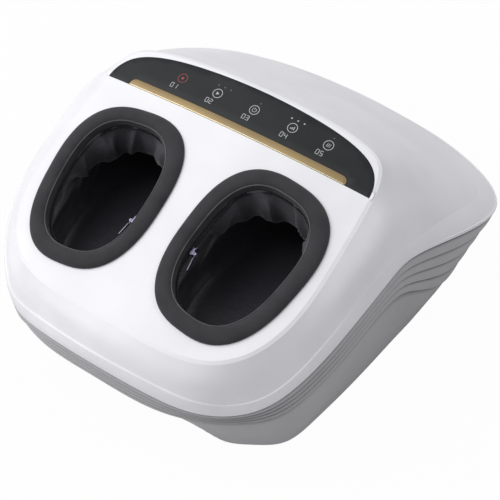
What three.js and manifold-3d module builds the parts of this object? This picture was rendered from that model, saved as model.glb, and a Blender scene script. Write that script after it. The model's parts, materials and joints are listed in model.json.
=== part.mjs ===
// Foot massager: two padded foot wells in a sloping white top cover over a ribbed grey base.
// All lengths are in millimetres. X runs across the machine, +Y runs from the heels to the
// toes and the control panel, and +Z is up. The origin is on the floor under its middle.

import * as THREE from 'three';
import { mergeVertices } from 'three/addons/utils/BufferGeometryUtils.js';
import Module from 'manifold-3d';

const wasm = await Module();
wasm.setup();

// Overall body: the half extents that its outlines are shares of
const HALF_WIDTH = 212;
const HALF_DEPTH = 211;
const COVER_HEIGHT = 196;
const FOOT_HEIGHT = 5;
const WALL = 3;
const BASE_FLOOR = 3;
const SEAT_GAP = 0.3;
const PARTING_GAP = 0.5;
const OVERRUN = 10;
const EMBED = 1;

// Deck: a plane that rises to the panel, with a slight crown across the machine
const DECK_TILT = THREE.MathUtils.degToRad(20);
const DECK_MIDDLE_HEIGHT = 172.4;
const DECK_CROWN = 5;
const DECK_CROWN_LIFT = 2;
const DECK_CROWN_HALF_WIDTH = 150;

// Base ribs, and how far the cover stands out over them
const RIB_COUNT = 4;
const RIB_STEP = 2;
const COVER_OVERHANG = 1.2;
const LIP_BULGE = 1.5;

// Collars, as seen square on to the deck: a little broader at the toes than at the heels, and
// splayed outwards with their wells
const COLLAR_CENTRE_X = 75;
const COLLAR_CENTRE_V = -90;
const COLLAR_HALF_WIDTH = 62.2;
const COLLAR_HALF_LENGTH = 83.4;
const COLLAR_TAPER_SHARE = 0.067;
const WELL_SPLAY = THREE.MathUtils.degToRad(5.7);
const COLLAR_BAND = 16.5;
const COLLAR_CROWN = 5.8;
const COLLAR_SKIRT = 5;
const COLLAR_SKIRT_THICKNESS = 2.5;
const COVER_HOLE_INSET = 10.5;
const OVAL_POWER = 2.6;

// Foot wells: stiff tubs under the deck
const WELL_WALL = 2.5;
const WELL_LIP_INSET = 7;
const WELL_CENTRE_Y = -36;
const WELL_HALF_WIDTH = 64;
const WELL_HALF_LENGTH = 133;
const WELL_SHOULDER_HEIGHT = 108;
const WELL_SHOULDER_RISE_SHARE = 0.15;
const WELL_FLOOR_HEIGHT = 52;
const WELL_FLOOR_ROUNDING = 4;
const WELL_DRAFT = 5;

// Cloth liners inside the tubs, with their gaps to the tubs
const LINER_THICKNESS = 1.2;
const LINER_TOP_INSET = 14.2;
const LINER_TOP_DROP = 11.6;
const LINER_SETBACK = 3;
const LINER_SIDE_GAP = 6;
const LINER_END_GAP = 11;
const LINER_SHOULDER_GAP = 10;
const LINER_FLOOR_GAP = 15.5;
const LINER_CENTRE_Y = WELL_CENTRE_Y - LINER_SETBACK;
const LINER_HALF_WIDTH = WELL_HALF_WIDTH - LINER_SIDE_GAP;
const LINER_HALF_LENGTH = WELL_HALF_LENGTH - LINER_END_GAP;
const LINER_SHOULDER_HEIGHT = WELL_SHOULDER_HEIGHT - LINER_SHOULDER_GAP;
const LINER_SHOULDER_RISE_SHARE = 0.11;
const LINER_FLOOR_HEIGHT = WELL_FLOOR_HEIGHT + LINER_FLOOR_GAP;
const LINER_FLOOR_ROUNDING = 8;
const LINER_DRAFT = 5;
const LINER_FOLD_COUNT = 4;
const LINER_FOLD_DEPTH = 5;
const LINER_STEPS = 48;

// Control panel
const PANEL_HALF_WIDTH = 145;
const PANEL_FRONT_V = 11.2;
const PANEL_DEPTH = 47.4;
const PANEL_RECESS = 1.8;
const TRIM_HALF_WIDTH = 120;
const TRIM_DEPTH = 7.6;
const TRIM_RADIUS = 6;
const TRIM_PROUD = 0.4;
const TOUCH_BOARD_HALF_WIDTH = 105;
const TOUCH_BOARD_FRONT_V = 17;
const TOUCH_BOARD_DEPTH = 28;
const BOARD_THICKNESS = 1.6;

// Zips round the inner edge of each collar, straight along the inner side of each well
const ZIP_INSET = 19;
const ZIP_DROP = 8.3;
const ZIP_START = -18;
const TAPE_INSET = 15.5;
const TAPE_THICKNESS = 0.8;
const TAPE_HEIGHT = 6;
const TEETH_DEPTH = 2;
const TEETH_HEIGHT = 2.6;
const SLIDER_LENGTH = 10;
const SLIDER_WALL = 1.3;
const SLIDER_EAR_LENGTH = 3.6;
const SLIDER_EAR_REACH = 3.3;
const PULL_LENGTH = 17;
const PULL_HEIGHT = 4.4;
const PULL_THICKNESS = 1.1;
const PULL_EYE_RADIUS = 1.6;
const PULL_PIN_RADIUS = 0.7;
const PULL_PIN_GAP = 0.15;
const PULL_BLADE_START = 3;
const PULL_REST_TURN = THREE.MathUtils.degToRad(14);

// Kneading gear: one motor with a worm at each end, and a wheel under each sole
const GEAR_MODULE = 1.5;
const GEAR_HEIGHT = 28;
const WHEEL_TEETH = 30;
const WHEEL_THICKNESS = 7;
const WHEEL_ADDENDUM = 0.8;
const WHEEL_DEDENDUM = 1.7;
const TOOTH_TIP = 1;
const TOOTH_ROOT = 1.7;
const WORM_PITCH_RADIUS = 5;
const WORM_LENGTH = 20;
const WORM_ROOT_RADIUS = 3.8;
const WORM_TIP_RADIUS = 5.7;
const RUNNING_GAP = 0.08;
const SHAFT_RADIUS = 2.5;
const SHAFT_HALF_LENGTH = 97;
const BEARING_GAP = 2;
const BEARING_LENGTH = 5;
const BEARING_HALF_WIDTH = 5.5;
const GEAR_PLATE_THICKNESS = 4;
const GEAR_PLATE_HALF_WIDTH = 30;
const GEAR_PLATE_FRONT = 28;
const GEAR_PLATE_REAR = 36;
const PIN_RADIUS = 4;
const PIN_HEIGHT = 44;
const PIN_BOSS_RADIUS = 7;
const MOTOR_RADIUS = 18;
const MOTOR_LENGTH = 62;
const MOTOR_BOSS_RADIUS = 6;
const MOTOR_BOSS_LENGTH = 3;
const SADDLE_WIDTH = 44;
const SADDLE_DEPTH = 34;
const SADDLE_HEIGHT = 12;

// Kneading heads
const HEAD_CENTRE_X = 77.5;
const HEAD_CENTRE_Y = -40;
const HEAD_RADIUS = 42;
const HEAD_BOTTOM = 50;
const HEAD_THICKNESS = 4;
const HEAD_HUB_RADIUS = 9;
const HEAD_GAP = 1.5;
const KNOB_COUNT = 3;
const KNOB_RADIUS = 12.5;
const KNOB_RISE = 12;
const KNOB_RING_RADIUS = 25;

// Heating and air
const HEATER_WIDTH = 62;
const HEATER_DEPTH = 58;
const HEATER_THICKNESS = 1;
const HEATER_CENTRE_Y = 38;
const AIRBAG_HALF_WIDTH = 30;
const AIRBAG_HALF_LENGTH = 28;
const AIRBAG_THICKNESS = 6;
const AIRBAG_SEAM_THICKNESS = 1.2;
const AIRBAG_CENTRE_Y = 50;
const AIRBAG_LIFT = 20.3;
const AIRBAG_CENTRE_HEIGHT = WELL_SHOULDER_HEIGHT + AIRBAG_LIFT;
const AIRBAG_TILT = THREE.MathUtils.degToRad(22.5);
const PUMP_RADIUS = 15;
const PUMP_LENGTH = 52;
const PUMP_CENTRE_X = 46;
const AIR_CENTRE_Y = 135;
const VALVE_CENTRE_X = -12;
const VALVE_WIDTH = 26;
const VALVE_DEPTH = 16;
const VALVE_HEIGHT = 26;
const VALVE_OUTLET_SPREAD = 7;
const NOZZLE_RADIUS = 1.2;
const NOZZLE_LENGTH = 4;
const HOSE_RADIUS = 2.6;
const HOSE_BORE_RADIUS = 1.8;
const HOSE_STEPS = 16;

// Electrics
const MAIN_BOARD_CENTRE_X = -60;
const MAIN_BOARD_Y = 148;
const MAIN_BOARD_WIDTH = 80;
const MAIN_BOARD_HEIGHT = 44;
const CAPACITOR_RADIUS = 5;
const CAPACITOR_LENGTH = 12;
const CAPACITOR_COUNT = 3;
const CAPACITOR_PITCH = 14;
const CONNECTOR_WIDTH = 18;
const CONNECTOR_DEPTH = 6;
const CONNECTOR_HEIGHT = 8;
const INLET_CENTRE_X = -60;
const INLET_CENTRE_HEIGHT = 46;
const INLET_FACE_SETBACK = 4;
const INLET_WIDTH = 27;
const INLET_HEIGHT = 18;
const INLET_DEPTH = 26;
const INLET_FLANGE = 3;
const INLET_FLANGE_SETBACK = 17;
const INLET_SOCKET_RADIUS = 4.2;
const INLET_SOCKET_DEPTH = 12;
const INLET_PIN_RADIUS = 1.2;
const INLET_PIN_SPREAD = 4.3;
const INLET_PIN_LENGTH = 9;

// Fixings
const RUBBER_FOOT_RADIUS = 10;
const RUBBER_FOOT_RECESS = 2;
const RUBBER_FOOT_CHAMFER = 1;
const POST_RADIUS = 5.5;
const POST_JOINT_HEIGHT = 60;
const SCREW_HEAD_RADIUS = 3.6;
const SCREW_HEAD_HEIGHT = 3;
const SCREW_RADIUS = 1.5;
const SCREW_LENGTH = 24;
const SCREW_SEAT_HEIGHT = 46;
const SCREW_GAP = 0.4;

// Fineness of the faceted forms
const STEPS_PER_KEY = 2;
const OVAL_STEPS = 32;
const ROUND_SIDES = 24;
const SMALL_SIDES = 12;
const SCREW_SIDES = 8;
const HOSE_SIDES = 6;
const SLAB_STEPS = 14;

// Outlines of the body from above, from the front middle round the right side to the rear
// middle, the left side mirroring them. Each row is a share of the half width, a share of the
// half depth and, off the deck and the floor, a share of the cover's height.
const deckEdgeShares = [
  [0, -0.872], [0.288, -0.867], [0.467, -0.829], [0.571, -0.763], [0.646, -0.664],
  [0.698, -0.498], [0.708, -0.303], [0.703, -0.109], [0.693, 0.052], [0.651, 0.19],
  [0.528, 0.246], [0.307, 0.27], [0, 0.275],
];
const shoulderShares = [
  [0, -0.948, 0.501], [0.3, -0.937, 0.495], [0.491, -0.892, 0.479], [0.603, -0.804, 0.476],
  [0.685, -0.687, 0.512], [0.747, -0.508, 0.601], [0.777, -0.305, 0.692], [0.798, -0.085, 0.76],
  [0.802, 0.067, 0.79], [0.784, 0.31, 0.749], [0.699, 0.508, 0.712], [0.407, 0.617, 0.732],
  [0, 0.647, 0.754],
];
const creaseShares = [
  [0, -0.986, 0.444], [0.289, -0.964, 0.423], [0.489, -0.912, 0.38], [0.629, -0.81, 0.354],
  [0.728, -0.696, 0.397], [0.8, -0.514, 0.508], [0.833, -0.309, 0.601], [0.853, -0.079, 0.666],
  [0.87, 0.082, 0.661], [0.911, 0.431, 0.578], [0.887, 0.77, 0.441], [0.521, 0.933, 0.47],
  [0, 0.964, 0.505],
];
const partingShares = [
  [0, -1, 0.378], [0.298, -0.977, 0.348], [0.495, -0.912, 0.295], [0.652, -0.797, 0.284],
  [0.755, -0.672, 0.346], [0.828, -0.496, 0.459], [0.862, -0.302, 0.539], [0.877, -0.059, 0.581],
  [0.895, 0.106, 0.582], [0.998, 0.457, 0.493], [0.948, 0.851, 0.353], [0.573, 0.984, 0.41],
  [0, 0.992, 0.45],
];
const ribEndShares = [
  [0, -0.986, 0.251], [0.269, -0.964, 0.22], [0.479, -0.899, 0.207], [0.654, -0.792, 0.213],
  [0.764, -0.685, 0.248], [0.839, -0.512, 0.334], [0.868, -0.308, 0.388], [0.879, -0.058, 0.397],
  [0.895, 0.115, 0.326], [0.946, 0.379, 0.15], [0.867, 0.676, 0.108], [0.539, 0.838, 0.126],
  [0, 0.862, 0.142],
];
const floorLineShares = [
  [0, -0.674], [0.298, -0.74], [0.532, -0.834], [0.675, -0.778], [0.781, -0.689],
  [0.826, -0.522], [0.854, -0.322], [0.876, -0.109], [0.891, 0.072], [0.9, 0.329],
  [0.8, 0.615], [0.498, 0.753], [0, 0.782],
];

// The deck is filled in from its middle in rings at these shares of its edge.
const deckFillShares = [0.25, 0.5, 0.75];

// The rear edge of the panel from its right corner to its middle, as shares of the panel's
// half width and depth
const panelRearShares = [[1, 0], [0.979, 0.29], [0.883, 0.63], [0.69, 0.836], [0.414, 0.948]];

// A collar's section, as shares of its band and its crown, over the deck from the outer edge
const collarSectionShares = [[0, 0], [0.06, 0.5], [0.27, 0.88], [0.55, 1], [0.82, 0.8], [1, 0.3]];

// An airbag's half section: shares of its half width and of its half thickness
const airbagSectionShares = [[0.6, 1], [0.88, 0.6]];

// A knob's section: shares of its radius and of its rise
const knobSectionShares = [[1, 0.1], [0.95, 0.45], [0.75, 0.78], [0.4, 0.96]];

// Places on the right half for the case screws' posts and for the rubber feet
const postPlaceShares = [[0.756, -0.43], [0.77, 0.145], [0.53, 0.668]];
const rubberFootShares = [[0.7, -0.68], [0.66, 0.55]];

// Solids

function toSolid(geometry) {
  const bare = geometry.clone();
  bare.deleteAttribute('normal');
  bare.deleteAttribute('uv');
  const merged = mergeVertices(bare);
  return new wasm.Manifold(new wasm.Mesh({
    numProp: 3,
    vertProperties: merged.attributes.position.array,
    triVerts: new Uint32Array(merged.index.array),
  }));
}

function toGeometry(solid) {
  const mesh = solid.getMesh();
  const geometry = new THREE.BufferGeometry();
  geometry.setAttribute('position', new THREE.BufferAttribute(mesh.vertProperties, 3));
  geometry.setIndex(new THREE.BufferAttribute(mesh.triVerts, 1));
  return geometry;
}

function joined(geometries) {
  return geometries.map(toSolid).reduce((whole, next) => whole.add(next));
}

function flipped(geometry) {
  const order = geometry.index.array;
  for (let i = 0; i < order.length; i += 3) {
    [order[i + 1], order[i + 2]] = [order[i + 2], order[i + 1]];
  }
  return geometry;
}

function mirrored(geometry) {
  return flipped(geometry.clone().scale(-1, 1, 1));
}

function volume(geometry) {
  const place = geometry.attributes.position;
  const order = geometry.index.array;
  const corners = [new THREE.Vector3(), new THREE.Vector3(), new THREE.Vector3()];
  let total = 0;
  for (let i = 0; i < order.length; i += 3) {
    corners.forEach((corner, k) => corner.fromBufferAttribute(place, order[i + k]));
    total += corners[0].dot(corners[1].cross(corners[2]));
  }
  return total;
}

function facingOut(points, faces) {
  const geometry = new THREE.BufferGeometry().setFromPoints(points);
  geometry.setIndex(faces);
  return volume(geometry) < 0 ? flipped(geometry) : geometry;
}

// Two triangles for each side between one ring of points and the next
function ringSides(first, second, count) {
  return Array.from({ length: count }, (_, i) => {
    const next = (i + 1) % count;
    return [first + i, second + next, second + i, first + i, first + next, second + next];
  }).flat();
}

// A closed skin through rings with equally many points, with a fan over each end
function loft(rings) {
  const count = rings[0].length;
  const middle = (ring) => ring
    .reduce((sum, point) => sum.add(point), new THREE.Vector3())
    .divideScalar(count);
  const points = [...rings.flat(), middle(rings[0]), middle(rings.at(-1))];
  const last = (rings.length - 1) * count;
  const faces = rings.slice(1).flatMap((_, i) => ringSides(i * count, (i + 1) * count, count));
  for (let i = 0; i < count; i += 1) {
    const next = (i + 1) % count;
    faces.push(points.length - 2, next, i);
    faces.push(points.length - 1, last + i, last + next);
  }
  return facingOut(points, faces);
}

// A closed hoop through sections with equally many points, the last joined to the first
function hoop(sections) {
  const sides = sections[0].length;
  const starts = sections.map((_, i) => i * sides);
  const faces = starts.flatMap((start, i) => (
    ringSides(start, starts[(i + 1) % starts.length], sides)
  ));
  return facingOut(sections.flat(), faces);
}

function upright(radius, height, x, y, z, sides = ROUND_SIDES) {
  return new THREE.CylinderGeometry(radius, radius, height, sides)
    .rotateX(Math.PI / 2)
    .translate(x, y, z + height / 2);
}

function rodAcross(radius, length, x, y, z, sides = ROUND_SIDES) {
  return new THREE.CylinderGeometry(radius, radius, length, sides)
    .rotateZ(Math.PI / 2)
    .translate(x, y, z);
}

function rodLengthwise(radius, length, x, y, z, sides = SMALL_SIDES) {
  return new THREE.CylinderGeometry(radius, radius, length, sides).translate(x, y, z);
}

function block(width, depth, height, x, y, z) {
  return new THREE.BoxGeometry(width, depth, height).translate(x, y, z + height / 2);
}

// A box between two values on each axis
function span([x0, x1], [y0, y1], [z0, z1]) {
  return block(x1 - x0, y1 - y0, z1 - z0, (x0 + x1) / 2, (y0 + y1) / 2, z0);
}

// Outlines

function closedRing(halfKeys) {
  const leftKeys = halfKeys
    .slice(1, -1)
    .reverse()
    .map((key) => new THREE.Vector3(-key.x, key.y, key.z));
  const curve = new THREE.CatmullRomCurve3([...halfKeys, ...leftKeys], true, 'centripetal');
  const count = curve.points.length * STEPS_PER_KEY;
  return Array.from({ length: count }, (_, i) => curve.getPoint(i / count));
}

function bodyRing(shares) {
  return closedRing(shares.map(([x, y, z]) => (
    new THREE.Vector3(x * HALF_WIDTH, y * HALF_DEPTH, z * COVER_HEIGHT)
  )));
}

function inset(ring, inward, drop = 0) {
  return ring.map((point, i) => {
    const before = ring.at(i - 1);
    const after = ring[(i + 1) % ring.length];
    const along = new THREE.Vector2(after.x - before.x, after.y - before.y).normalize();
    return new THREE.Vector3(
      point.x - along.y * inward,
      point.y + along.x * inward,
      point.z - drop,
    );
  });
}

function between(first, second, share) {
  return first.map((point, i) => point.clone().lerp(second[i], share));
}

function deckHeight(x, y) {
  const crown = DECK_CROWN_LIFT - DECK_CROWN * (x / DECK_CROWN_HALF_WIDTH) ** 2;
  return DECK_MIDDLE_HEIGHT + y * Math.tan(DECK_TILT) + crown;
}

// A point by its place across the deck, its place along the slope and its height square off it
function deckPoint(x, v, lift) {
  const y = v * Math.cos(DECK_TILT);
  return new THREE.Vector3(
    x,
    y - lift * Math.sin(DECK_TILT),
    deckHeight(x, y) + lift * Math.cos(DECK_TILT),
  );
}

function deckRing(share, drop) {
  const edge = bodyRing(deckEdgeShares.map(([x, y]) => [x, y, 0]));
  const middleY = (deckEdgeShares[0][1] + deckEdgeShares.at(-1)[1]) * HALF_DEPTH / 2;
  return edge.map((point) => {
    const x = point.x * share;
    const y = middleY + (point.y - middleY) * share;
    return new THREE.Vector3(x, y, deckHeight(x, y) - drop);
  });
}

// A rounded oval, anticlockwise from its right-hand end
function oval(halfWidth, halfLength, steps = OVAL_STEPS) {
  const bend = (value) => Math.sign(value) * Math.abs(value) ** (2 / OVAL_POWER);
  return Array.from({ length: steps }, (_, i) => {
    const turn = (i / steps) * 2 * Math.PI;
    return [halfWidth * bend(Math.cos(turn)), halfLength * bend(Math.sin(turn))];
  });
}

function splayed(x, along) {
  return new THREE.Vector2(x, along).rotateAround(new THREE.Vector2(), -WELL_SPLAY);
}

// The right collar's outline about its middle before it is splayed, drawn in by an inset
function collarOutline(drawnIn, steps = OVAL_STEPS) {
  return oval(COLLAR_HALF_WIDTH - drawnIn, COLLAR_HALF_LENGTH - drawnIn, steps)
    .map(([x, v]) => [x * (1 + COLLAR_TAPER_SHARE * v / COLLAR_HALF_LENGTH), v]);
}

// A place in the right collar's outline, at a height square off the deck
function onCollar([x, v], lift) {
  const turned = splayed(x, v);
  return deckPoint(COLLAR_CENTRE_X + turned.x, COLLAR_CENTRE_V + turned.y, lift);
}

function collarRing(drawnIn, lift, steps = OVAL_STEPS) {
  return collarOutline(drawnIn, steps).map((point) => onCollar(point, lift));
}

// Where the right well's splayed middle line stands across the machine
function wellAxisX(y) {
  const collarY = COLLAR_CENTRE_V * Math.cos(DECK_TILT);
  return COLLAR_CENTRE_X + (y - collarY) * Math.tan(WELL_SPLAY);
}

// A level or leaning ring of the right well, its height given along Y
function wellRing(centreY, halfWidth, halfLength, heightAt, steps = OVAL_STEPS) {
  return oval(halfWidth, halfLength, steps).map(([x, along]) => {
    const turned = splayed(x, along);
    const y = centreY + turned.y;
    return new THREE.Vector3(wellAxisX(centreY) + turned.x, y, heightAt(y));
  });
}

// A sheet over the panel's part of the deck that follows its crown between two heights
function deckSheet(low, high) {
  const reach = PANEL_HALF_WIDTH + OVERRUN;
  const front = PANEL_FRONT_V - OVERRUN;
  const rear = PANEL_FRONT_V + PANEL_DEPTH + OVERRUN;
  return loft(Array.from({ length: SLAB_STEPS + 1 }, (_, i) => {
    const x = reach * (2 * i / SLAB_STEPS - 1);
    return [
      deckPoint(x, front, low),
      deckPoint(x, front, high),
      deckPoint(x, rear, high),
      deckPoint(x, rear, low),
    ];
  }));
}

// A plate on the deck with the given outline, crowned like the deck
function deckPlate(outline, low, high) {
  const column = loft([
    outline.map(([x, v]) => deckPoint(x, v, 2 * OVERRUN)),
    outline.map(([x, v]) => deckPoint(x, v, -2 * OVERRUN)),
  ]);
  return toSolid(column).intersect(toSolid(deckSheet(low, high)));
}

function bothSides(places) {
  return [...places, ...places.map(([x, y]) => [-x, y])];
}

function atShares(shares) {
  return bothSides(shares.map(([x, y]) => [x * HALF_WIDTH, y * HALF_DEPTH]));
}

// Top cover

const creaseRing = bodyRing(creaseShares);
const partingRing = bodyRing(partingShares);
const shoulderRing = bodyRing(shoulderShares);
const ribEndRing = bodyRing(ribEndShares);
const floorRing = bodyRing(floorLineShares.map(([x, y]) => [x, y, FOOT_HEIGHT / COVER_HEIGHT]));

function coverOutside() {
  return loft([
    ...deckFillShares.map((share) => deckRing(share, 0)),
    deckRing(1, 0),
    shoulderRing,
    creaseRing,
    inset(between(creaseRing, partingRing, 1 / 2), -LIP_BULGE),
    partingRing,
  ]);
}

function coverInside() {
  return loft([
    ...deckFillShares.map((share) => deckRing(share, WALL)),
    inset(deckRing(1, 0), WALL, WALL),
    inset(shoulderRing, WALL, WALL / 2),
    inset(creaseRing, WALL),
    inset(partingRing, WALL),
    inset(partingRing, WALL, OVERRUN),
  ]);
}

function panelOutline(drawnIn) {
  const right = panelRearShares.map(([x, v]) => new THREE.Vector3(x, v));
  const left = [...panelRearShares].reverse().map(([x, v]) => new THREE.Vector3(-x, v));
  const rear = new THREE.CatmullRomCurve3([...right, new THREE.Vector3(0, 1), ...left]);
  return rear.getPoints(OVAL_STEPS).map(({ x, y }) => [
    x * (PANEL_HALF_WIDTH - drawnIn),
    PANEL_FRONT_V + drawnIn + y * (PANEL_DEPTH - 2 * drawnIn),
  ]);
}

function topCover() {
  const outside = toSolid(coverOutside());
  let cover = outside.subtract(toSolid(coverInside()));
  const low = POST_JOINT_HEIGHT + SEAT_GAP;
  for (const [x, y] of atShares(postPlaceShares)) {
    const post = upright(POST_RADIUS, COVER_HEIGHT - low, x, y, low, SMALL_SIDES);
    const bore = SCREW_RADIUS + SCREW_GAP / 2;
    const pilot = upright(bore, SCREW_LENGTH, x, y, low - OVERRUN, SCREW_SIDES);
    cover = cover.add(toSolid(post).intersect(outside)).subtract(toSolid(pilot));
  }
  const hole = loft([
    collarRing(COVER_HOLE_INSET, OVERRUN),
    collarRing(COVER_HOLE_INSET, -OVERRUN),
  ]);
  const recess = deckPlate(panelOutline(0), -PANEL_RECESS, OVERRUN);
  cover = cover.subtract(toSolid(hole)).subtract(toSolid(mirrored(hole)));
  return toGeometry(cover.subtract(recess));
}

// Base

function ribRings() {
  const rings = [inset(partingRing, COVER_OVERHANG, PARTING_GAP)];
  for (let rib = 1; rib <= RIB_COUNT; rib += 1) {
    const edge = between(partingRing, ribEndRing, rib / RIB_COUNT);
    rings.push(edge, inset(edge, RIB_STEP));
  }
  return rings;
}

function rearWallY(height) {
  const [, lowY, low] = ribEndShares.at(-1);
  const [, highY, high] = partingShares.at(-1);
  const rise = (height / COVER_HEIGHT - low) / (high - low);
  return HALF_DEPTH * THREE.MathUtils.lerp(lowY, highY, rise);
}

const inletFaceY = rearWallY(INLET_CENTRE_HEIGHT) - INLET_FACE_SETBACK;

function inletHole() {
  return span(
    [INLET_CENTRE_X - INLET_WIDTH / 2 - SEAT_GAP, INLET_CENTRE_X + INLET_WIDTH / 2 + SEAT_GAP],
    [inletFaceY - INLET_DEPTH / 2, HALF_DEPTH + OVERRUN],
    [
      INLET_CENTRE_HEIGHT - INLET_HEIGHT / 2 - SEAT_GAP,
      INLET_CENTRE_HEIGHT + INLET_HEIGHT / 2 + SEAT_GAP,
    ],
  );
}

function basePost(x, y) {
  return upright(POST_RADIUS, POST_JOINT_HEIGHT - FOOT_HEIGHT, x, y, FOOT_HEIGHT, SMALL_SIDES);
}

function screwWay(x, y) {
  const shank = upright(SCREW_RADIUS + SCREW_GAP, COVER_HEIGHT, x, y, 0, SCREW_SIDES);
  const head = upright(SCREW_HEAD_RADIUS + SCREW_GAP, SCREW_SEAT_HEIGHT, x, y, 0, SMALL_SIDES);
  return joined([shank, head]);
}

function baseShell() {
  const thickness = WALL + RIB_STEP;
  const outside = loft([...ribRings(), floorRing]);
  const inside = loft([
    inset(partingRing, thickness, -OVERRUN),
    inset(partingRing, thickness),
    inset(ribEndRing, thickness, -WALL / 2),
    inset(floorRing, WALL, -BASE_FLOOR),
  ]);
  let shell = toSolid(outside).subtract(toSolid(inside)).subtract(toSolid(inletHole()));
  for (const [x, y] of atShares(postPlaceShares)) {
    shell = shell.add(toSolid(basePost(x, y))).subtract(screwWay(x, y));
  }
  for (const [x, y] of atShares(rubberFootShares)) {
    const radius = RUBBER_FOOT_RADIUS + SEAT_GAP;
    const recess = upright(radius, FOOT_HEIGHT + RUBBER_FOOT_RECESS, x, y, 0, SMALL_SIDES);
    shell = shell.subtract(toSolid(recess));
  }
  return toGeometry(shell);
}

function rubberFoot() {
  const height = FOOT_HEIGHT + RUBBER_FOOT_RECESS - SEAT_GAP;
  const profile = [
    new THREE.Vector2(0, 0),
    new THREE.Vector2(RUBBER_FOOT_RADIUS - RUBBER_FOOT_CHAMFER, 0),
    new THREE.Vector2(RUBBER_FOOT_RADIUS, RUBBER_FOOT_CHAMFER),
    new THREE.Vector2(RUBBER_FOOT_RADIUS, height),
    new THREE.Vector2(0, height),
  ];
  return new THREE.LatheGeometry(profile, SMALL_SIDES).rotateX(Math.PI / 2);
}

function caseScrew() {
  const seat = SCREW_SEAT_HEIGHT - SEAT_GAP;
  const head = seat - SCREW_HEAD_HEIGHT;
  return toGeometry(joined([
    upright(SCREW_HEAD_RADIUS, SCREW_HEAD_HEIGHT, 0, 0, head, SCREW_SIDES),
    upright(SCREW_RADIUS, SCREW_LENGTH + EMBED, 0, 0, seat - EMBED, SCREW_SIDES),
  ]));
}

// Panel

function trimOutline(grown) {
  const halfWidth = TRIM_HALF_WIDTH + grown;
  const front = PANEL_FRONT_V + SEAT_GAP - grown;
  const rear = PANEL_FRONT_V + SEAT_GAP + TRIM_DEPTH + grown;
  const steps = SMALL_SIDES / 2;
  const corner = (side) => Array.from({ length: steps + 1 }, (_, i) => {
    const turn = (side > 0 ? i : steps - i) / steps * Math.PI / 2;
    return [
      side * (halfWidth - TRIM_RADIUS + TRIM_RADIUS * Math.cos(turn)),
      rear - TRIM_RADIUS + TRIM_RADIUS * Math.sin(turn),
    ];
  });
  return [[-halfWidth, front], [halfWidth, front], ...corner(1), ...corner(-1)];
}

function controlPanel() {
  const glass = deckPlate(panelOutline(SEAT_GAP), SEAT_GAP - PANEL_RECESS, 0);
  return toGeometry(glass.subtract(deckPlate(trimOutline(SEAT_GAP), -OVERRUN, OVERRUN)));
}

function panelTrim() {
  return toGeometry(deckPlate(trimOutline(0), SEAT_GAP - PANEL_RECESS, TRIM_PROUD));
}

function touchBoard() {
  const top = -WALL - 2 * SEAT_GAP;
  const rear = TOUCH_BOARD_FRONT_V + TOUCH_BOARD_DEPTH;
  const outline = [
    [-TOUCH_BOARD_HALF_WIDTH, TOUCH_BOARD_FRONT_V],
    [TOUCH_BOARD_HALF_WIDTH, TOUCH_BOARD_FRONT_V],
    [TOUCH_BOARD_HALF_WIDTH, rear],
    [-TOUCH_BOARD_HALF_WIDTH, rear],
  ];
  return toGeometry(deckPlate(outline, top - BOARD_THICKNESS, top));
}

// Collars, wells and liners, each as the right one

function collar() {
  const over = collarSectionShares.map(([inward, up]) => [
    inward * COLLAR_BAND,
    SEAT_GAP + up * (COLLAR_CROWN - SEAT_GAP),
  ]);
  const skirt = [
    [COLLAR_BAND, -COLLAR_SKIRT],
    [COLLAR_BAND - COLLAR_SKIRT_THICKNESS, -COLLAR_SKIRT],
    [COVER_HOLE_INSET + COLLAR_SKIRT_THICKNESS / 2, SEAT_GAP],
  ];
  const rings = [...over, ...skirt].map(([inward, lift]) => collarRing(inward, lift));
  return hoop(rings[0].map((_, i) => rings.map((ring) => ring[i])));
}

function wellRings(drawnIn) {
  const rise = (y) => WELL_SHOULDER_HEIGHT - drawnIn + WELL_SHOULDER_RISE_SHARE * y;
  const halfWidth = WELL_HALF_WIDTH - drawnIn;
  const halfLength = WELL_HALF_LENGTH - drawnIn;
  const floor = WELL_FLOOR_HEIGHT - WELL_WALL + drawnIn;
  const narrow = WELL_DRAFT + WELL_FLOOR_ROUNDING;
  return [
    wellRing(WELL_CENTRE_Y, halfWidth, halfLength, rise),
    wellRing(
      WELL_CENTRE_Y,
      halfWidth - WELL_DRAFT,
      halfLength - WELL_DRAFT,
      () => floor + WELL_FLOOR_ROUNDING,
    ),
    wellRing(WELL_CENTRE_Y, halfWidth - narrow, halfLength - narrow, () => floor),
  ];
}

function wellTub() {
  const lipDrop = WALL + SEAT_GAP;
  const mouth = WELL_LIP_INSET + WELL_WALL;
  const outside = loft([collarRing(WELL_LIP_INSET, -lipDrop), ...wellRings(0)]);
  const inside = loft([
    collarRing(mouth, OVERRUN),
    collarRing(mouth, -lipDrop - WELL_WALL),
    ...wellRings(WELL_WALL),
  ]);
  const headHole = upright(
    HEAD_RADIUS + HEAD_GAP,
    2 * OVERRUN,
    HEAD_CENTRE_X,
    HEAD_CENTRE_Y,
    WELL_FLOOR_HEIGHT - OVERRUN,
  );
  const wallPoint = airbagPoint(AIRBAG_HALF_LENGTH + NOZZLE_LENGTH + 2 * OVERRUN);
  const hoseHole = rodLengthwise(
    HOSE_RADIUS + 2 * NOZZLE_RADIUS,
    4 * OVERRUN,
    wallPoint.x,
    wallPoint.y,
    wallPoint.z,
  );
  return toGeometry(
    toSolid(outside)
      .subtract(toSolid(inside))
      .subtract(toSolid(headHole))
      .subtract(toSolid(hoseHole)),
  );
}

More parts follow.
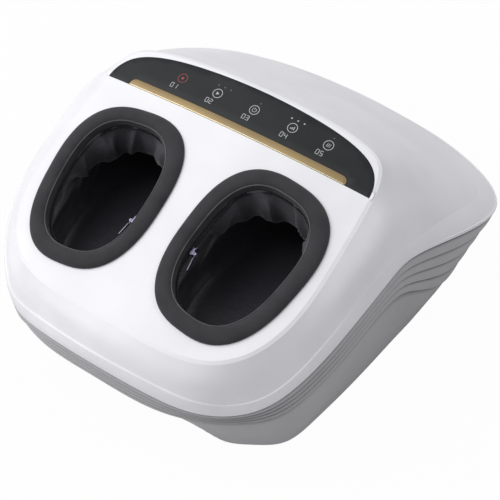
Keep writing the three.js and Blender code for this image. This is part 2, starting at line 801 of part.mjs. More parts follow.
// The liner's wall hangs in folds round the toes: each ring's toe half is drawn in by waves.
function folded(ring, depth) {
  return ring.map((point, i) => {
    const turn = (i / ring.length) * 2 * Math.PI;
    const toeShare = Math.max(0, Math.sin(turn));
    const wave = (1 - Math.cos(2 * LINER_FOLD_COUNT * turn)) / 2;
    const middle = new THREE.Vector3(wellAxisX(LINER_CENTRE_Y), LINER_CENTRE_Y, point.z);
    const reach = point.distanceTo(middle);
    return point.clone().lerp(middle, depth * toeShare * wave / reach);
  });
}

function linerRings(drawnIn) {
  const halfWidth = LINER_HALF_WIDTH - drawnIn;
  const halfLength = LINER_HALF_LENGTH - drawnIn;
  const rise = (y) => LINER_SHOULDER_HEIGHT - drawnIn + LINER_SHOULDER_RISE_SHARE * y;
  const floor = LINER_FLOOR_HEIGHT + drawnIn;
  const narrow = LINER_DRAFT + LINER_FLOOR_ROUNDING;
  const top = collarRing(LINER_TOP_INSET + drawnIn, -LINER_TOP_DROP - drawnIn, LINER_STEPS);
  const shoulder = wellRing(LINER_CENTRE_Y, halfWidth, halfLength, rise, LINER_STEPS);
  const low = wellRing(
    LINER_CENTRE_Y,
    halfWidth - LINER_DRAFT,
    halfLength - LINER_DRAFT,
    () => floor + LINER_FLOOR_ROUNDING,
    LINER_STEPS,
  );
  const bottom = wellRing(
    LINER_CENTRE_Y,
    halfWidth - narrow,
    halfLength - narrow,
    () => floor,
    LINER_STEPS,
  );
  return [
    top,
    folded(between(top, shoulder, 1 / 2), LINER_FOLD_DEPTH),
    folded(shoulder, LINER_FOLD_DEPTH),
    folded(low, LINER_FOLD_DEPTH / 2),
    bottom,
  ];
}

function liner() {
  const mouth = collarRing(LINER_TOP_INSET + LINER_THICKNESS, OVERRUN, LINER_STEPS);
  const inside = loft([mouth, ...linerRings(LINER_THICKNESS)]);
  return toGeometry(toSolid(loft(linerRings(0))).subtract(toSolid(inside)));
}

// Zips, each as the right one

// The straight run along the inner side stands so far from the collar's middle line.
const zipX = ZIP_INSET - COLLAR_HALF_WIDTH;

function zipTape() {
  const half = TAPE_THICKNESS / 2;
  const section = [
    [-half, TAPE_HEIGHT / 2],
    [half, TAPE_HEIGHT / 2],
    [half, TEETH_HEIGHT / 2],
    [half + TEETH_DEPTH, TEETH_HEIGHT / 2],
    [half + TEETH_DEPTH, -TEETH_HEIGHT / 2],
    [half, -TEETH_HEIGHT / 2],
    [half, -TAPE_HEIGHT / 2],
    [-half, -TAPE_HEIGHT / 2],
  ];
  const rings = section.map(([inward, up]) => {
    const straight = zipX + inward;
    return collarOutline(TAPE_INSET + inward)
      .map(([x, v]) => onCollar([Math.max(x, straight), v], up - ZIP_DROP));
  });
  return hoop(rings[0].map((_, i) => rings.map((ring) => ring[i])));
}

// The slider and its pull are drawn with X out of the tape, Y along the zip and Z square off
// the deck, about the middle of the tape.
const sliderBack = TAPE_THICKNESS / 2 + SEAT_GAP;
const sliderFace = TAPE_THICKNESS / 2 + TEETH_DEPTH + SEAT_GAP + SLIDER_WALL;
const sliderHalfHeight = TEETH_HEIGHT / 2 + SEAT_GAP + SLIDER_WALL;
const pinPlace = new THREE.Vector3(sliderFace + SLIDER_EAR_REACH - PULL_EYE_RADIUS, -2, 0);

function zipSlider() {
  const halfLength = SLIDER_LENGTH / 2;
  const inner = TEETH_HEIGHT / 2 + SEAT_GAP;
  const earY = [pinPlace.y - SLIDER_EAR_LENGTH / 2, pinPlace.y + SLIDER_EAR_LENGTH / 2];
  const earX = [sliderFace - SLIDER_WALL, sliderFace + SLIDER_EAR_REACH];
  const plate = span(
    [sliderFace - SLIDER_WALL, sliderFace],
    [-halfLength, halfLength],
    [-sliderHalfHeight, sliderHalfHeight],
  );
  const flange = span(
    [sliderBack, sliderFace],
    [-halfLength, halfLength],
    [inner, sliderHalfHeight],
  );
  const ear = span(earX, earY, [inner - SEAT_GAP / 2, sliderHalfHeight]);
  const pin = upright(
    PULL_PIN_RADIUS,
    2 * inner + SLIDER_WALL,
    pinPlace.x,
    pinPlace.y,
    -inner - SLIDER_WALL / 2,
    SMALL_SIDES,
  );
  const lower = (geometry) => geometry.clone().rotateX(Math.PI).translate(0, 2 * pinPlace.y, 0);
  return toGeometry(joined([
    plate,
    flange,
    flange.clone().rotateX(Math.PI),
    ear,
    lower(ear),
    pin,
  ]));
}

// The pull is drawn about its pin.
function zipPull() {
  const eyeHalfHeight = TEETH_HEIGHT / 2 - SEAT_GAP / 2;
  const half = PULL_THICKNESS / 2;
  const eye = upright(PULL_EYE_RADIUS, 2 * eyeHalfHeight, 0, 0, -eyeHalfHeight, SMALL_SIDES);
  const neck = span(
    [-half, half],
    [-PULL_BLADE_START - half, -PULL_PIN_RADIUS],
    [-eyeHalfHeight, eyeHalfHeight],
  );
  const blade = span(
    [-half, half],
    [-PULL_LENGTH, -PULL_BLADE_START],
    [-PULL_HEIGHT / 2, PULL_HEIGHT / 2],
  );
  const bore = upright(
    PULL_PIN_RADIUS + PULL_PIN_GAP,
    PULL_HEIGHT,
    0,
    0,
    -PULL_HEIGHT / 2,
    SMALL_SIDES,
  );
  return toGeometry(joined([eye, neck, blade]).subtract(toSolid(bore)));
}

// Kneading gear, each piece as the right one

const wheelRadius = GEAR_MODULE * WHEEL_TEETH / 2;
const shaftY = HEAD_CENTRE_Y + wheelRadius + WORM_PITCH_RADIUS;
const insideFloor = FOOT_HEIGHT + BASE_FLOOR + SEAT_GAP;
const wheelBottom = GEAR_HEIGHT - WHEEL_THICKNESS / 2;
const hubBottom = wheelBottom - SEAT_GAP;

function wheelOutline() {
  const tip = wheelRadius + WHEEL_ADDENDUM;
  const root = wheelRadius - WHEEL_DEDENDUM;
  const corner = (turn, radius, width) => {
    const lean = turn + width / (2 * radius);
    return new THREE.Vector2(radius * Math.cos(lean), radius * Math.sin(lean));
  };
  const first = Math.PI / 2 + Math.PI / WHEEL_TEETH;
  return Array.from({ length: WHEEL_TEETH }, (_, i) => {
    const turn = first + i * 2 * Math.PI / WHEEL_TEETH;
    return [
      corner(turn, root, -TOOTH_ROOT),
      corner(turn, tip, -TOOTH_TIP),
      corner(turn, tip, TOOTH_TIP),
      corner(turn, root, TOOTH_ROOT),
    ];
  }).flat();
}

function wormWheel() {
  const body = new THREE.ExtrudeGeometry(new THREE.Shape(wheelOutline()), {
    depth: WHEEL_THICKNESS,
    bevelEnabled: false,
  }).translate(HEAD_CENTRE_X, HEAD_CENTRE_Y, wheelBottom);
  const bore = upright(
    HEAD_HUB_RADIUS + RUNNING_GAP,
    WHEEL_THICKNESS + OVERRUN,
    HEAD_CENTRE_X,
    HEAD_CENTRE_Y,
    wheelBottom - OVERRUN / 2,
  );
  return toGeometry(toSolid(body).subtract(toSolid(bore)));
}

// A right-hand thread that crosses the wheel's side of the worm at the worm's middle
function worm() {
  const lead = Math.PI * GEAR_MODULE;
  const turns = Math.floor(WORM_LENGTH / lead) - 1;
  const steps = turns * SMALL_SIDES;
  const inner = (WORM_ROOT_RADIUS + SHAFT_RADIUS) / 2;
  const thread = loft(Array.from({ length: steps + 1 }, (_, i) => {
    const along = (i / steps - 1 / 2) * turns * lead;
    const turn = Math.PI + 2 * Math.PI * along / lead;
    const corner = (radius, shift) => new THREE.Vector3(
      HEAD_CENTRE_X + along + shift,
      shaftY + radius * Math.cos(turn),
      GEAR_HEIGHT + radius * Math.sin(turn),
    );
    return [
      corner(inner, -TOOTH_ROOT / 2),
      corner(WORM_TIP_RADIUS, -TOOTH_TIP / 2),
      corner(WORM_TIP_RADIUS, TOOTH_TIP / 2),
      corner(inner, TOOTH_ROOT / 2),
    ];
  }));
  const rod = (radius, length) => (
    rodAcross(radius, length, HEAD_CENTRE_X, shaftY, GEAR_HEIGHT, SMALL_SIDES)
  );
  const core = rod(WORM_ROOT_RADIUS, WORM_LENGTH);
  const bore = rod(SHAFT_RADIUS + RUNNING_GAP, WORM_LENGTH + OVERRUN);
  return toGeometry(joined([core, thread]).subtract(toSolid(bore)));
}

function driveShaft() {
  const length = 2 * SHAFT_HALF_LENGTH;
  return rodAcross(SHAFT_RADIUS, length, 0, shaftY, GEAR_HEIGHT, SMALL_SIDES);
}

function motor() {
  const bossSpan = MOTOR_LENGTH + 2 * MOTOR_BOSS_LENGTH;
  const can = rodAcross(MOTOR_RADIUS, MOTOR_LENGTH, 0, shaftY, GEAR_HEIGHT);
  const bosses = rodAcross(MOTOR_BOSS_RADIUS, bossSpan, 0, shaftY, GEAR_HEIGHT);
  const bore = rodAcross(SHAFT_RADIUS + RUNNING_GAP, bossSpan + OVERRUN, 0, shaftY, GEAR_HEIGHT);
  return toGeometry(joined([can, bosses]).subtract(toSolid(bore)));
}

function motorSaddle() {
  const body = block(SADDLE_WIDTH, SADDLE_DEPTH, SADDLE_HEIGHT, 0, shaftY, insideFloor);
  const seat = rodAcross(
    MOTOR_RADIUS + SEAT_GAP,
    SADDLE_WIDTH + OVERRUN,
    0,
    shaftY,
    GEAR_HEIGHT,
  );
  return toGeometry(toSolid(body).subtract(toSolid(seat)));
}

function gearBase() {
  const top = insideFloor + GEAR_PLATE_THICKNESS;
  const plate = span(
    [HEAD_CENTRE_X - GEAR_PLATE_HALF_WIDTH, HEAD_CENTRE_X + GEAR_PLATE_HALF_WIDTH],
    [HEAD_CENTRE_Y - GEAR_PLATE_FRONT, HEAD_CENTRE_Y + GEAR_PLATE_REAR],
    [insideFloor, top],
  );
  const bossHeight = hubBottom - SEAT_GAP - insideFloor;
  const pinHeight = PIN_HEIGHT - insideFloor;
  const boss = upright(PIN_BOSS_RADIUS, bossHeight, HEAD_CENTRE_X, HEAD_CENTRE_Y, insideFloor);
  const pin = upright(PIN_RADIUS, pinHeight, HEAD_CENTRE_X, HEAD_CENTRE_Y, insideFloor);
  const reach = WORM_LENGTH / 2 + BEARING_GAP + BEARING_LENGTH / 2;
  const height = GEAR_HEIGHT + BEARING_HALF_WIDTH - insideFloor;
  const pillar = (x) => (
    block(BEARING_LENGTH, 2 * BEARING_HALF_WIDTH, height, x, shaftY, insideFloor)
  );
  const bore = rodAcross(
    SHAFT_RADIUS + RUNNING_GAP,
    2 * reach + OVERRUN,
    HEAD_CENTRE_X,
    shaftY,
    GEAR_HEIGHT,
  );
  const pieces = [plate, boss, pin, pillar(HEAD_CENTRE_X - reach), pillar(HEAD_CENTRE_X + reach)];
  return toGeometry(joined(pieces).subtract(toSolid(bore)));
}

function knob(turn) {
  const profile = [
    new THREE.Vector2(0, -HEAD_THICKNESS / 2),
    new THREE.Vector2(KNOB_RADIUS, -HEAD_THICKNESS / 2),
    ...knobSectionShares.map(([out, up]) => new THREE.Vector2(out * KNOB_RADIUS, up * KNOB_RISE)),
    new THREE.Vector2(0, KNOB_RISE),
  ];
  return new THREE.LatheGeometry(profile, SMALL_SIDES)
    .rotateX(Math.PI / 2)
    .translate(
      HEAD_CENTRE_X + KNOB_RING_RADIUS * Math.cos(turn),
      HEAD_CENTRE_Y + KNOB_RING_RADIUS * Math.sin(turn),
      HEAD_BOTTOM + HEAD_THICKNESS,
    );
}

function kneadingHead() {
  const centred = (radius, from, to) => (
    upright(radius, to - from, HEAD_CENTRE_X, HEAD_CENTRE_Y, from)
  );
  const disc = centred(HEAD_RADIUS, HEAD_BOTTOM, HEAD_BOTTOM + HEAD_THICKNESS);
  const hub = centred(HEAD_HUB_RADIUS, hubBottom, HEAD_BOTTOM + HEAD_THICKNESS / 2);
  const bore = centred(PIN_RADIUS + RUNNING_GAP, hubBottom - OVERRUN, PIN_HEIGHT + SEAT_GAP);
  const knobs = Array.from({ length: KNOB_COUNT }, (_, i) => (
    knob(Math.PI / 2 + i * 2 * Math.PI / KNOB_COUNT)
  ));
  return toGeometry(joined([disc, hub, ...knobs]).subtract(toSolid(bore)));
}

// Heating and air

function heaterPad() {
  const bottom = WELL_FLOOR_HEIGHT + SEAT_GAP;
  return block(
    HEATER_WIDTH,
    HEATER_DEPTH,
    HEATER_THICKNESS,
    wellAxisX(HEATER_CENTRE_Y),
    HEATER_CENTRE_Y,
    bottom,
  );
}

// A point in the right airbag's mid plane, so far towards the toes from its middle
function airbagPoint(along) {
  return new THREE.Vector3(
    wellAxisX(AIRBAG_CENTRE_Y),
    AIRBAG_CENTRE_Y + along * Math.cos(AIRBAG_TILT),
    AIRBAG_CENTRE_HEIGHT - along * Math.sin(AIRBAG_TILT),
  );
}

function airbag() {
  const seam = AIRBAG_SEAM_THICKNESS / 2;
  const above = [
    ...airbagSectionShares.map(([out, up]) => [out, up * AIRBAG_THICKNESS / 2]),
    [1, seam],
  ];
  const below = above.map(([out, up]) => [out, -up]).reverse();
  const pillow = loft([...above, ...below].map(([out, up]) => (
    oval(AIRBAG_HALF_WIDTH * out, AIRBAG_HALF_LENGTH * out, ROUND_SIDES)
      .map(([x, y]) => new THREE.Vector3(x, y, up))
  )));
  const start = AIRBAG_HALF_LENGTH - NOZZLE_LENGTH / 2;
  const end = AIRBAG_HALF_LENGTH + NOZZLE_LENGTH;
  const nozzle = rodLengthwise(NOZZLE_RADIUS, end - start, 0, (start + end) / 2, 0);
  const middle = airbagPoint(0);
  return toGeometry(joined([pillow, nozzle]))
    .rotateX(-AIRBAG_TILT)
    .translate(middle.x, middle.y, middle.z);
}

const pumpHeight = insideFloor + PUMP_RADIUS;
const pumpEnd = PUMP_CENTRE_X - PUMP_LENGTH / 2;
const valveEnd = VALVE_CENTRE_X + VALVE_WIDTH / 2;
const valveTop = insideFloor + VALVE_HEIGHT;

function airPump() {
  const nozzleX = pumpEnd - NOZZLE_LENGTH / 2 + EMBED / 2;
  return toGeometry(joined([
    rodAcross(PUMP_RADIUS, PUMP_LENGTH, PUMP_CENTRE_X, AIR_CENTRE_Y, pumpHeight),
    rodAcross(NOZZLE_RADIUS, NOZZLE_LENGTH + EMBED, nozzleX, AIR_CENTRE_Y, pumpHeight, SMALL_SIDES),
  ]));
}

function airValve() {
  const inletX = valveEnd + NOZZLE_LENGTH / 2 - EMBED / 2;
  const outlet = (side) => upright(
    NOZZLE_RADIUS,
    NOZZLE_LENGTH + EMBED,
    VALVE_CENTRE_X + side * VALVE_OUTLET_SPREAD,
    AIR_CENTRE_Y,
    valveTop - EMBED,
    SMALL_SIDES,
  );
  return toGeometry(joined([
    block(VALVE_WIDTH, VALVE_DEPTH, VALVE_HEIGHT, VALVE_CENTRE_X, AIR_CENTRE_Y, insideFloor),
    rodAcross(NOZZLE_RADIUS, NOZZLE_LENGTH + EMBED, inletX, AIR_CENTRE_Y, pumpHeight, SMALL_SIDES),
    outlet(1),
    outlet(-1),
  ]));
}

function circle(radius, sides) {
  return Array.from({ length: sides }, (_, i) => {
    const turn = i * 2 * Math.PI / sides;
    return new THREE.Vector2(radius * Math.cos(turn), radius * Math.sin(turn));
  });
}

function hose(points, steps) {
  const section = new THREE.Shape(circle(HOSE_RADIUS, HOSE_SIDES));
  section.holes.push(new THREE.Path(circle(HOSE_BORE_RADIUS, HOSE_SIDES)));
  return new THREE.ExtrudeGeometry(section, {
    steps,
    extrudePath: new THREE.CatmullRomCurve3(points, false, 'centripetal'),
  });
}

function pumpHose() {
  return hose([
    new THREE.Vector3(valveEnd + SEAT_GAP, AIR_CENTRE_Y, pumpHeight),
    new THREE.Vector3(pumpEnd - SEAT_GAP, AIR_CENTRE_Y, pumpHeight),
  ], 1);
}

// From a valve outlet up between the wells and in through a well's toe end to its airbag
function airHose(side) {
  const startX = VALVE_CENTRE_X + side * VALVE_OUTLET_SPREAD;
  const place = (x, y, z) => new THREE.Vector3(x, y, z);
  const toSide = (point) => place(side * point.x, point.y, point.z);
  const bag = airbagPoint(AIRBAG_HALF_LENGTH + SEAT_GAP);
  const wall = airbagPoint(AIRBAG_HALF_LENGTH + 2 * OVERRUN);
  const bend = airbagPoint(AIRBAG_HALF_LENGTH + 4 * OVERRUN);
  const turnZ = (bend.z + valveTop) / 2;
  return hose([
    place(startX, AIR_CENTRE_Y, valveTop + NOZZLE_RADIUS),
    place(startX, AIR_CENTRE_Y, valveTop + 2 * OVERRUN),
    place(side * COLLAR_CENTRE_X / 3, AIR_CENTRE_Y, turnZ),
    place(side * COLLAR_CENTRE_X * 2 / 3, AIR_CENTRE_Y, bend.z - OVERRUN),
    toSide(bend),
    toSide(wall),
    toSide(bag),
  ], HOSE_STEPS);
}

// Electrics

function mainBoard() {
  const front = MAIN_BOARD_Y - BOARD_THICKNESS / 2;
  const middle = insideFloor + MAIN_BOARD_HEIGHT / 2;
  const board = block(
    MAIN_BOARD_WIDTH,
    BOARD_THICKNESS,
    MAIN_BOARD_HEIGHT,
    MAIN_BOARD_CENTRE_X,
    MAIN_BOARD_Y,
    insideFloor,
  );
  const capacitors = Array.from({ length: CAPACITOR_COUNT }, (_, i) => rodLengthwise(
    CAPACITOR_RADIUS,
    CAPACITOR_LENGTH + EMBED,
    MAIN_BOARD_CENTRE_X + CAPACITOR_PITCH * (i - 1 / 2),
    front - CAPACITOR_LENGTH / 2 + EMBED / 2,
    middle + CAPACITOR_RADIUS,
  ));
  const connectors = [-1, 1].map((side) => block(
    CONNECTOR_WIDTH,
    CONNECTOR_DEPTH + EMBED,
    CONNECTOR_HEIGHT,
    MAIN_BOARD_CENTRE_X + side * MAIN_BOARD_WIDTH / 4,
    front - CONNECTOR_DEPTH / 2 + EMBED / 2,
    insideFloor + CONNECTOR_HEIGHT,
  ));
  return toGeometry(joined([board, ...capacitors, ...connectors]));
}

function powerInlet() {
  const low = INLET_CENTRE_HEIGHT - INLET_HEIGHT / 2;
  const bodyY = inletFaceY - INLET_DEPTH / 2;
  const flangeY = inletFaceY - INLET_FLANGE_SETBACK;
  const body = block(INLET_WIDTH, INLET_DEPTH, INLET_HEIGHT, INLET_CENTRE_X, bodyY, low);
  const flange = block(
    INLET_WIDTH + 2 * INLET_FLANGE,
    INLET_FLANGE,
    INLET_HEIGHT + 2 * INLET_FLANGE,
    INLET_CENTRE_X,
    flangeY,
    low - INLET_FLANGE,
  );
  const sides = [-1, 1].map((side) => INLET_CENTRE_X + side * INLET_PIN_SPREAD);
  const socketY = inletFaceY - INLET_SOCKET_DEPTH / 2 + EMBED / 2;
  const pinY = inletFaceY - INLET_SOCKET_DEPTH + INLET_PIN_LENGTH / 2 - EMBED / 2;
  const sockets = joined(sides.map((x) => (
    rodLengthwise(INLET_SOCKET_RADIUS, INLET_SOCKET_DEPTH + EMBED, x, socketY, INLET_CENTRE_HEIGHT)
  )));
  const bridge = block(
    2 * INLET_PIN_SPREAD,
    INLET_SOCKET_DEPTH + EMBED,
    INLET_SOCKET_RADIUS,
    INLET_CENTRE_X,
    socketY,
    INLET_CENTRE_HEIGHT - INLET_SOCKET_RADIUS / 2,
  );
  const pins = joined(sides.map((x) => (
    rodLengthwise(INLET_PIN_RADIUS, INLET_PIN_LENGTH + EMBED, x, pinY, INLET_CENTRE_HEIGHT)
  )));
  return toGeometry(
    joined([body, flange]).subtract(sockets).subtract(toSolid(bridge)).add(pins),
  );
}

// Finishes

const finish = {
  cover: ['#f1f1f4', 0.3, 0],
  base: ['#bcbebd', 0.5, 0],
  panel: ['#1b1d1f', 0.15, 0],
  trim: ['#a48d5f', 0.4, 0.7],
  collar: ['#454547', 0.95, 0],
  liner: ['#141418', 0.7, 0],
  tape: ['#232326', 0.9, 0],
  zip: ['#aaa7bd', 0.35, 0.8],
  tub: ['#3c3e41', 0.6, 0],
  rubber: ['#262728', 0.9, 0],
  knead: ['#d9d3c4', 0.45, 0],
  gear: ['#e9e5da', 0.5, 0],
  worm: ['#b79a5a', 0.35, 0.9],
  steel: ['#a7a9ac', 0.35, 0.9],
  frame: ['#6d7073', 0.6, 0],
  heater: ['#b4552c', 0.6, 0],
  airbag: ['#77858d', 0.5, 0],
  pump: ['#303236', 0.5, 0],
  valve: ['#dfe0dc', 0.5, 0],
  hose: ['#cfd6d9', 0.4, 0],
  board: ['#1f5a36', 0.5, 0],
  inlet: ['#1f2021', 0.5, 0],
};

// Assembly

const massager = new THREE.Group();

function place(name, geometry, look, parent = massager) {
  const [color, roughness, metalness] = finish[look];
  const material = new THREE.MeshStandardMaterial({ color, roughness, metalness });
  const mesh = new THREE.Mesh(geometry, material);
  mesh.name = name;
  parent.add(mesh);
  return mesh;
}

function placePair(name, geometry, look) {
  place(`${name}_right`, geometry, look);
  place(`${name}_left`, mirrored(geometry), look);
}

function placeZip(side, name) {
  const flip = (geometry) => (side > 0 ? geometry : mirrored(geometry));
  const zip = new THREE.Group();
  zip.position.copy(onCollar([zipX, ZIP_START], -ZIP_DROP)).multiply({ x: side, y: 1, z: 1 });
  zip.rotation.set(DECK_TILT, 0, -side * WELL_SPLAY);
  massager.add(zip);
  place(`zip_slider_${name}`, flip(zipSlider()), 'zip', zip);
  const pull = place(`zip_pull_${name}`, flip(zipPull()), 'zip', zip);
  pull.position.set(side * pinPlace.x, pinPlace.y, pinPlace.z);
  pull.rotation.z = side * PULL_REST_TURN;
}

place('base_shell', baseShell(), 'base');
place('top_cover', topCover(), 'cover');
place('control_panel', controlPanel(), 'panel');
place('panel_trim', panelTrim(), 'trim');
place('touch_board', touchBoard(), 'board');
placePair('collar', collar(), 'collar');
placePair('well_tub', wellTub(), 'tub');
placePair('liner', liner(), 'liner');
placePair('zip_tape', zipTape(), 'tape');
placeZip(1, 'right');
placeZip(-1, 'left');

place('motor', motor(), 'steel');
place('motor_saddle', motorSaddle(), 'frame');
place('drive_shaft', driveShaft(), 'steel');
placePair('worm', worm(), 'worm');
placePair('worm_wheel', wormWheel(), 'gear');
placePair('gear_base', gearBase(), 'frame');
placePair('kneading_head', kneadingHead(), 'knead');
placePair('heater_pad', heaterPad(), 'heater');

placePair('airbag', airbag(), 'airbag');
place('air_pump', airPump(), 'pump');
place('air_valve', airValve(), 'valve');
place('pump_hose', pumpHose(), 'hose');
place('air_hose_right', airHose(1), 'hose');
place('air_hose_left', airHose(-1), 'hose');
place('main_board', mainBoard(), 'board');
place('power_inlet', powerInlet(), 'inlet');

atShares(rubberFootShares).forEach(([x, y], i) => {
  place(`rubber_foot_${i + 1}`, rubberFoot(), 'rubber').position.set(x, y, 0);
});
atShares(postPlaceShares).forEach(([x, y], i) => {
  place(`case_screw_${i + 1}`, caseScrew(), 'steel').position.set(x, y, 0);
});

export default massager;
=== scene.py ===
"""Looks of the foot massager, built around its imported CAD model.

Sizes in this file are in millimetres in the model's own frame: X across the machine, +Y from the
heels to the toes and the control panel, +Z up, the origin on the floor under the middle. Places of
the lamps and the camera are in metres.
"""

import json
import math

import bmesh
import bpy
import numpy as np
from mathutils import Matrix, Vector
from mathutils.geometry import delaunay_2d_cdt


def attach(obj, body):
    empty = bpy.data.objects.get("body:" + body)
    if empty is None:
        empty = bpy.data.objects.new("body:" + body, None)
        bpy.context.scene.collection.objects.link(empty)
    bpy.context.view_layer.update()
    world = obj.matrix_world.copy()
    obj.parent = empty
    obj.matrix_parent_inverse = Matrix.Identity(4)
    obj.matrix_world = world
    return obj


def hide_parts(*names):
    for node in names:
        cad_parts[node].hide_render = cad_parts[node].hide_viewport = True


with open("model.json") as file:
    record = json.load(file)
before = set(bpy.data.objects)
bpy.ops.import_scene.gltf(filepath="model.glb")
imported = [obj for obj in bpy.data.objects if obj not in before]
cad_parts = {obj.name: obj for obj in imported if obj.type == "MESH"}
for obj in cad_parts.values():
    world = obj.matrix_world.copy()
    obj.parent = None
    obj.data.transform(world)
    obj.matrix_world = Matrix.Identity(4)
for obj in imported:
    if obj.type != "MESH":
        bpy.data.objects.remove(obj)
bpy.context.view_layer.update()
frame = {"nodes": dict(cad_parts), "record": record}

MM = 0.001
SIDES = ((1, "right"), (-1, "left"))

# Sizes shared with the CAD
HALF_WIDTH, HALF_DEPTH, COVER_HEIGHT = 212.0, 211.0, 196.0
FOOT_HEIGHT = 5.0
WALL = 3.0
TILT = math.radians(20)
DECK_MIDDLE = 172.4
DECK_CROWN, CROWN_FALL, CROWN_HALF = 2, 5, 150
COLLAR_X, COLLAR_V = 75.0, -90.0
COLLAR_HALF = (62.2, 83.4)
COLLAR_TAPER = 0.067
COLLAR_HOLE = 10.5      # how far the deck's hole lies inside the collar's outline
SPLAY = math.radians(5.7)
OVAL_POWER = 2.6
PANEL_HALF, PANEL_FRONT, PANEL_DEPTH = 145.0, 11.2, 47.4
PANEL_GAP = .3
TRIM_HALF, TRIM_DEPTH, TRIM_RADIUS = 120.0, 7.6, 6.0
LINER_Y = -39.0
POSTS = ((.756, -.43), (.77, .145), (.53, .668))
FEET = ((.7, -.68), (.66, .55))
INLET_X, INLET_HEIGHT, INLET_HALF = -60.0, 46.0, (13.5, 9.0)
INLET_SETBACK, INLET_DEPTH, INLET_GAP = 4.0, 26.0, .3

# Right half of each outline from the front middle to the rear middle, as shares of the half width,
# the half depth and the cover's height
DECK_EDGE = [
    (0, -.872), (.288, -.867), (.467, -.829), (.571, -.763), (.646, -.664), (.698, -.498),
    (.708, -.303), (.703, -.109), (.693, .052), (.651, .19), (.528, .246), (.307, .27), (0, .275),
]
SHOULDER = [
    (0, -.948, .501), (.3, -.937, .495), (.491, -.892, .479), (.603, -.804, .476),
    (.685, -.687, .512), (.747, -.508, .601), (.777, -.305, .692), (.798, -.085, .76),
    (.802, .067, .79), (.784, .31, .749), (.699, .508, .712), (.407, .617, .732), (0, .647, .754),
]
CREASE = [
    (0, -.986, .444), (.289, -.964, .423), (.489, -.912, .38), (.629, -.81, .354),
    (.728, -.696, .397), (.8, -.514, .508), (.833, -.309, .601), (.853, -.079, .666),
    (.87, .082, .661), (.911, .431, .578), (.887, .77, .441), (.521, .933, .47), (0, .964, .505),
]
PARTING = [
    (0, -1, .378), (.298, -.977, .348), (.495, -.912, .295), (.652, -.797, .284),
    (.755, -.672, .346), (.828, -.496, .459), (.862, -.302, .539), (.877, -.059, .581),
    (.895, .106, .582), (.998, .457, .493), (.948, .851, .353), (.573, .984, .41), (0, .992, .45),
]
RIB_END = [
    (0, -.986, .251), (.269, -.964, .22), (.479, -.899, .207), (.654, -.792, .213),
    (.764, -.685, .248), (.839, -.512, .334), (.868, -.308, .388), (.879, -.058, .397),
    (.895, .115, .326), (.946, .379, .15), (.867, .676, .108), (.539, .838, .126), (0, .862, .142),
]
FLOOR_LINE = [
    (0, -.674), (.298, -.74), (.532, -.834), (.675, -.778), (.781, -.689), (.826, -.522),
    (.854, -.322), (.876, -.109), (.891, .072), (.9, .329), (.8, .615), (.498, .753), (0, .782),
]
PANEL_REAR = [(1, 0), (.979, .29), (.883, .63), (.69, .836), (.414, .948)]

STEPS, PANEL_STEPS = 10, 12     # points to each key of an outline


# Outlines
def hermite(p, q, leave, meet, t):
    """A cubic from p at 0 to q at 1 with the given slopes at its ends."""
    return ((2 * t**3 - 3 * t**2 + 1) * p + (t**3 - 2 * t**2 + t) * leave
            + (3 * t**2 - 2 * t**3) * q + (t**3 - t**2) * meet)


def curve_through(keys, steps, closed=True):
    """A curve through the keys whose bend is smooth everywhere."""
    keys = np.asarray(keys, float)
    n = len(keys)
    ahead = np.roll(keys, -1, 0) - keys
    gap = np.linalg.norm(ahead, axis=1) ** .5
    system, right = np.zeros((n, n)), np.zeros_like(keys)
    for i in range(n):
        before = gap[i - 1]
        system[i, i - 1], system[i, i], system[i, (i + 1) % n] = gap[i], 2 * (gap[i] + before), before
        right[i] = 3 * (gap[i] * ahead[i - 1] / before + before * ahead[i] / gap[i])
    if not closed:
        system[[0, -1]] = 0
        system[0, :2], right[0] = (2, 1), 3 * ahead[0] / gap[0]
        system[-1, -2:], right[-1] = (1, 2), 3 * ahead[-2] / gap[-2]
    slope = np.linalg.solve(system, right)
    t = (np.arange(steps) / steps)[:, None]
    out = []
    for i in range(n if closed else n - 1):
        j = (i + 1) % n
        out.append(hermite(keys[i], keys[j], slope[i] * gap[i], slope[j] * gap[i], t))
    return np.concatenate(out if closed else [*out, keys[-1:]])


def mirrored_keys(shares, scale):
    """A whole outline's keys from the shares of its right half."""
    half = [tuple(s * k for s, k in zip(row, scale)) for row in shares]
    return half + [(-row[0], *row[1:]) for row in reversed(half[1:-1])]


def body_ring(shares):
    """A ring round the machine."""
    return curve_through(mirrored_keys(shares, (HALF_WIDTH, HALF_DEPTH, COVER_HEIGHT)), STEPS)


def deck_height(x, y):
    """The deck's height over a plan point. It is a little crowned across."""
    return DECK_MIDDLE + y * math.tan(TILT) + DECK_CROWN - CROWN_FALL * (x / CROWN_HALF) ** 2


def over_plan(flat):
    """Plan points lifted to the deck."""
    return np.column_stack([flat, deck_height(flat[:, 0], flat[:, 1])])


def on_deck(flat, lift=0.0):
    """Places on the deck, from points across it and along its slope, and a height square off it."""
    x, y = flat[:, 0], flat[:, 1] * math.cos(TILT)
    return np.stack([x, y - lift * math.sin(TILT), deck_height(x, y) + lift * math.cos(TILT)], -1)


def inset(ring, inward, drop=0.0):
    """A ring drawn in square to its own line in plan, and lowered."""
    along = np.roll(ring, -1, 0)[:, :2] - np.roll(ring, 1, 0)[:, :2]
    along /= np.linalg.norm(along, axis=1)[:, None]
    out = ring.copy()
    out[:, 0] -= along[:, 1] * inward
    out[:, 1] += along[:, 0] * inward
    out[:, 2] -= drop
    return out


def even(points, count, closed=True):
    """The same curve with its points evenly spaced along it."""
    points = np.asarray(points, float)
    loop = np.vstack([points, points[:1]]) if closed else points
    way = np.concatenate([[0], np.cumsum(np.linalg.norm(np.diff(loop, axis=0), axis=1))])
    at = np.linspace(0, way[-1], count, endpoint=not closed)
    return np.stack([np.interp(at, way, loop[:, k]) for k in range(loop.shape[1])], 1)


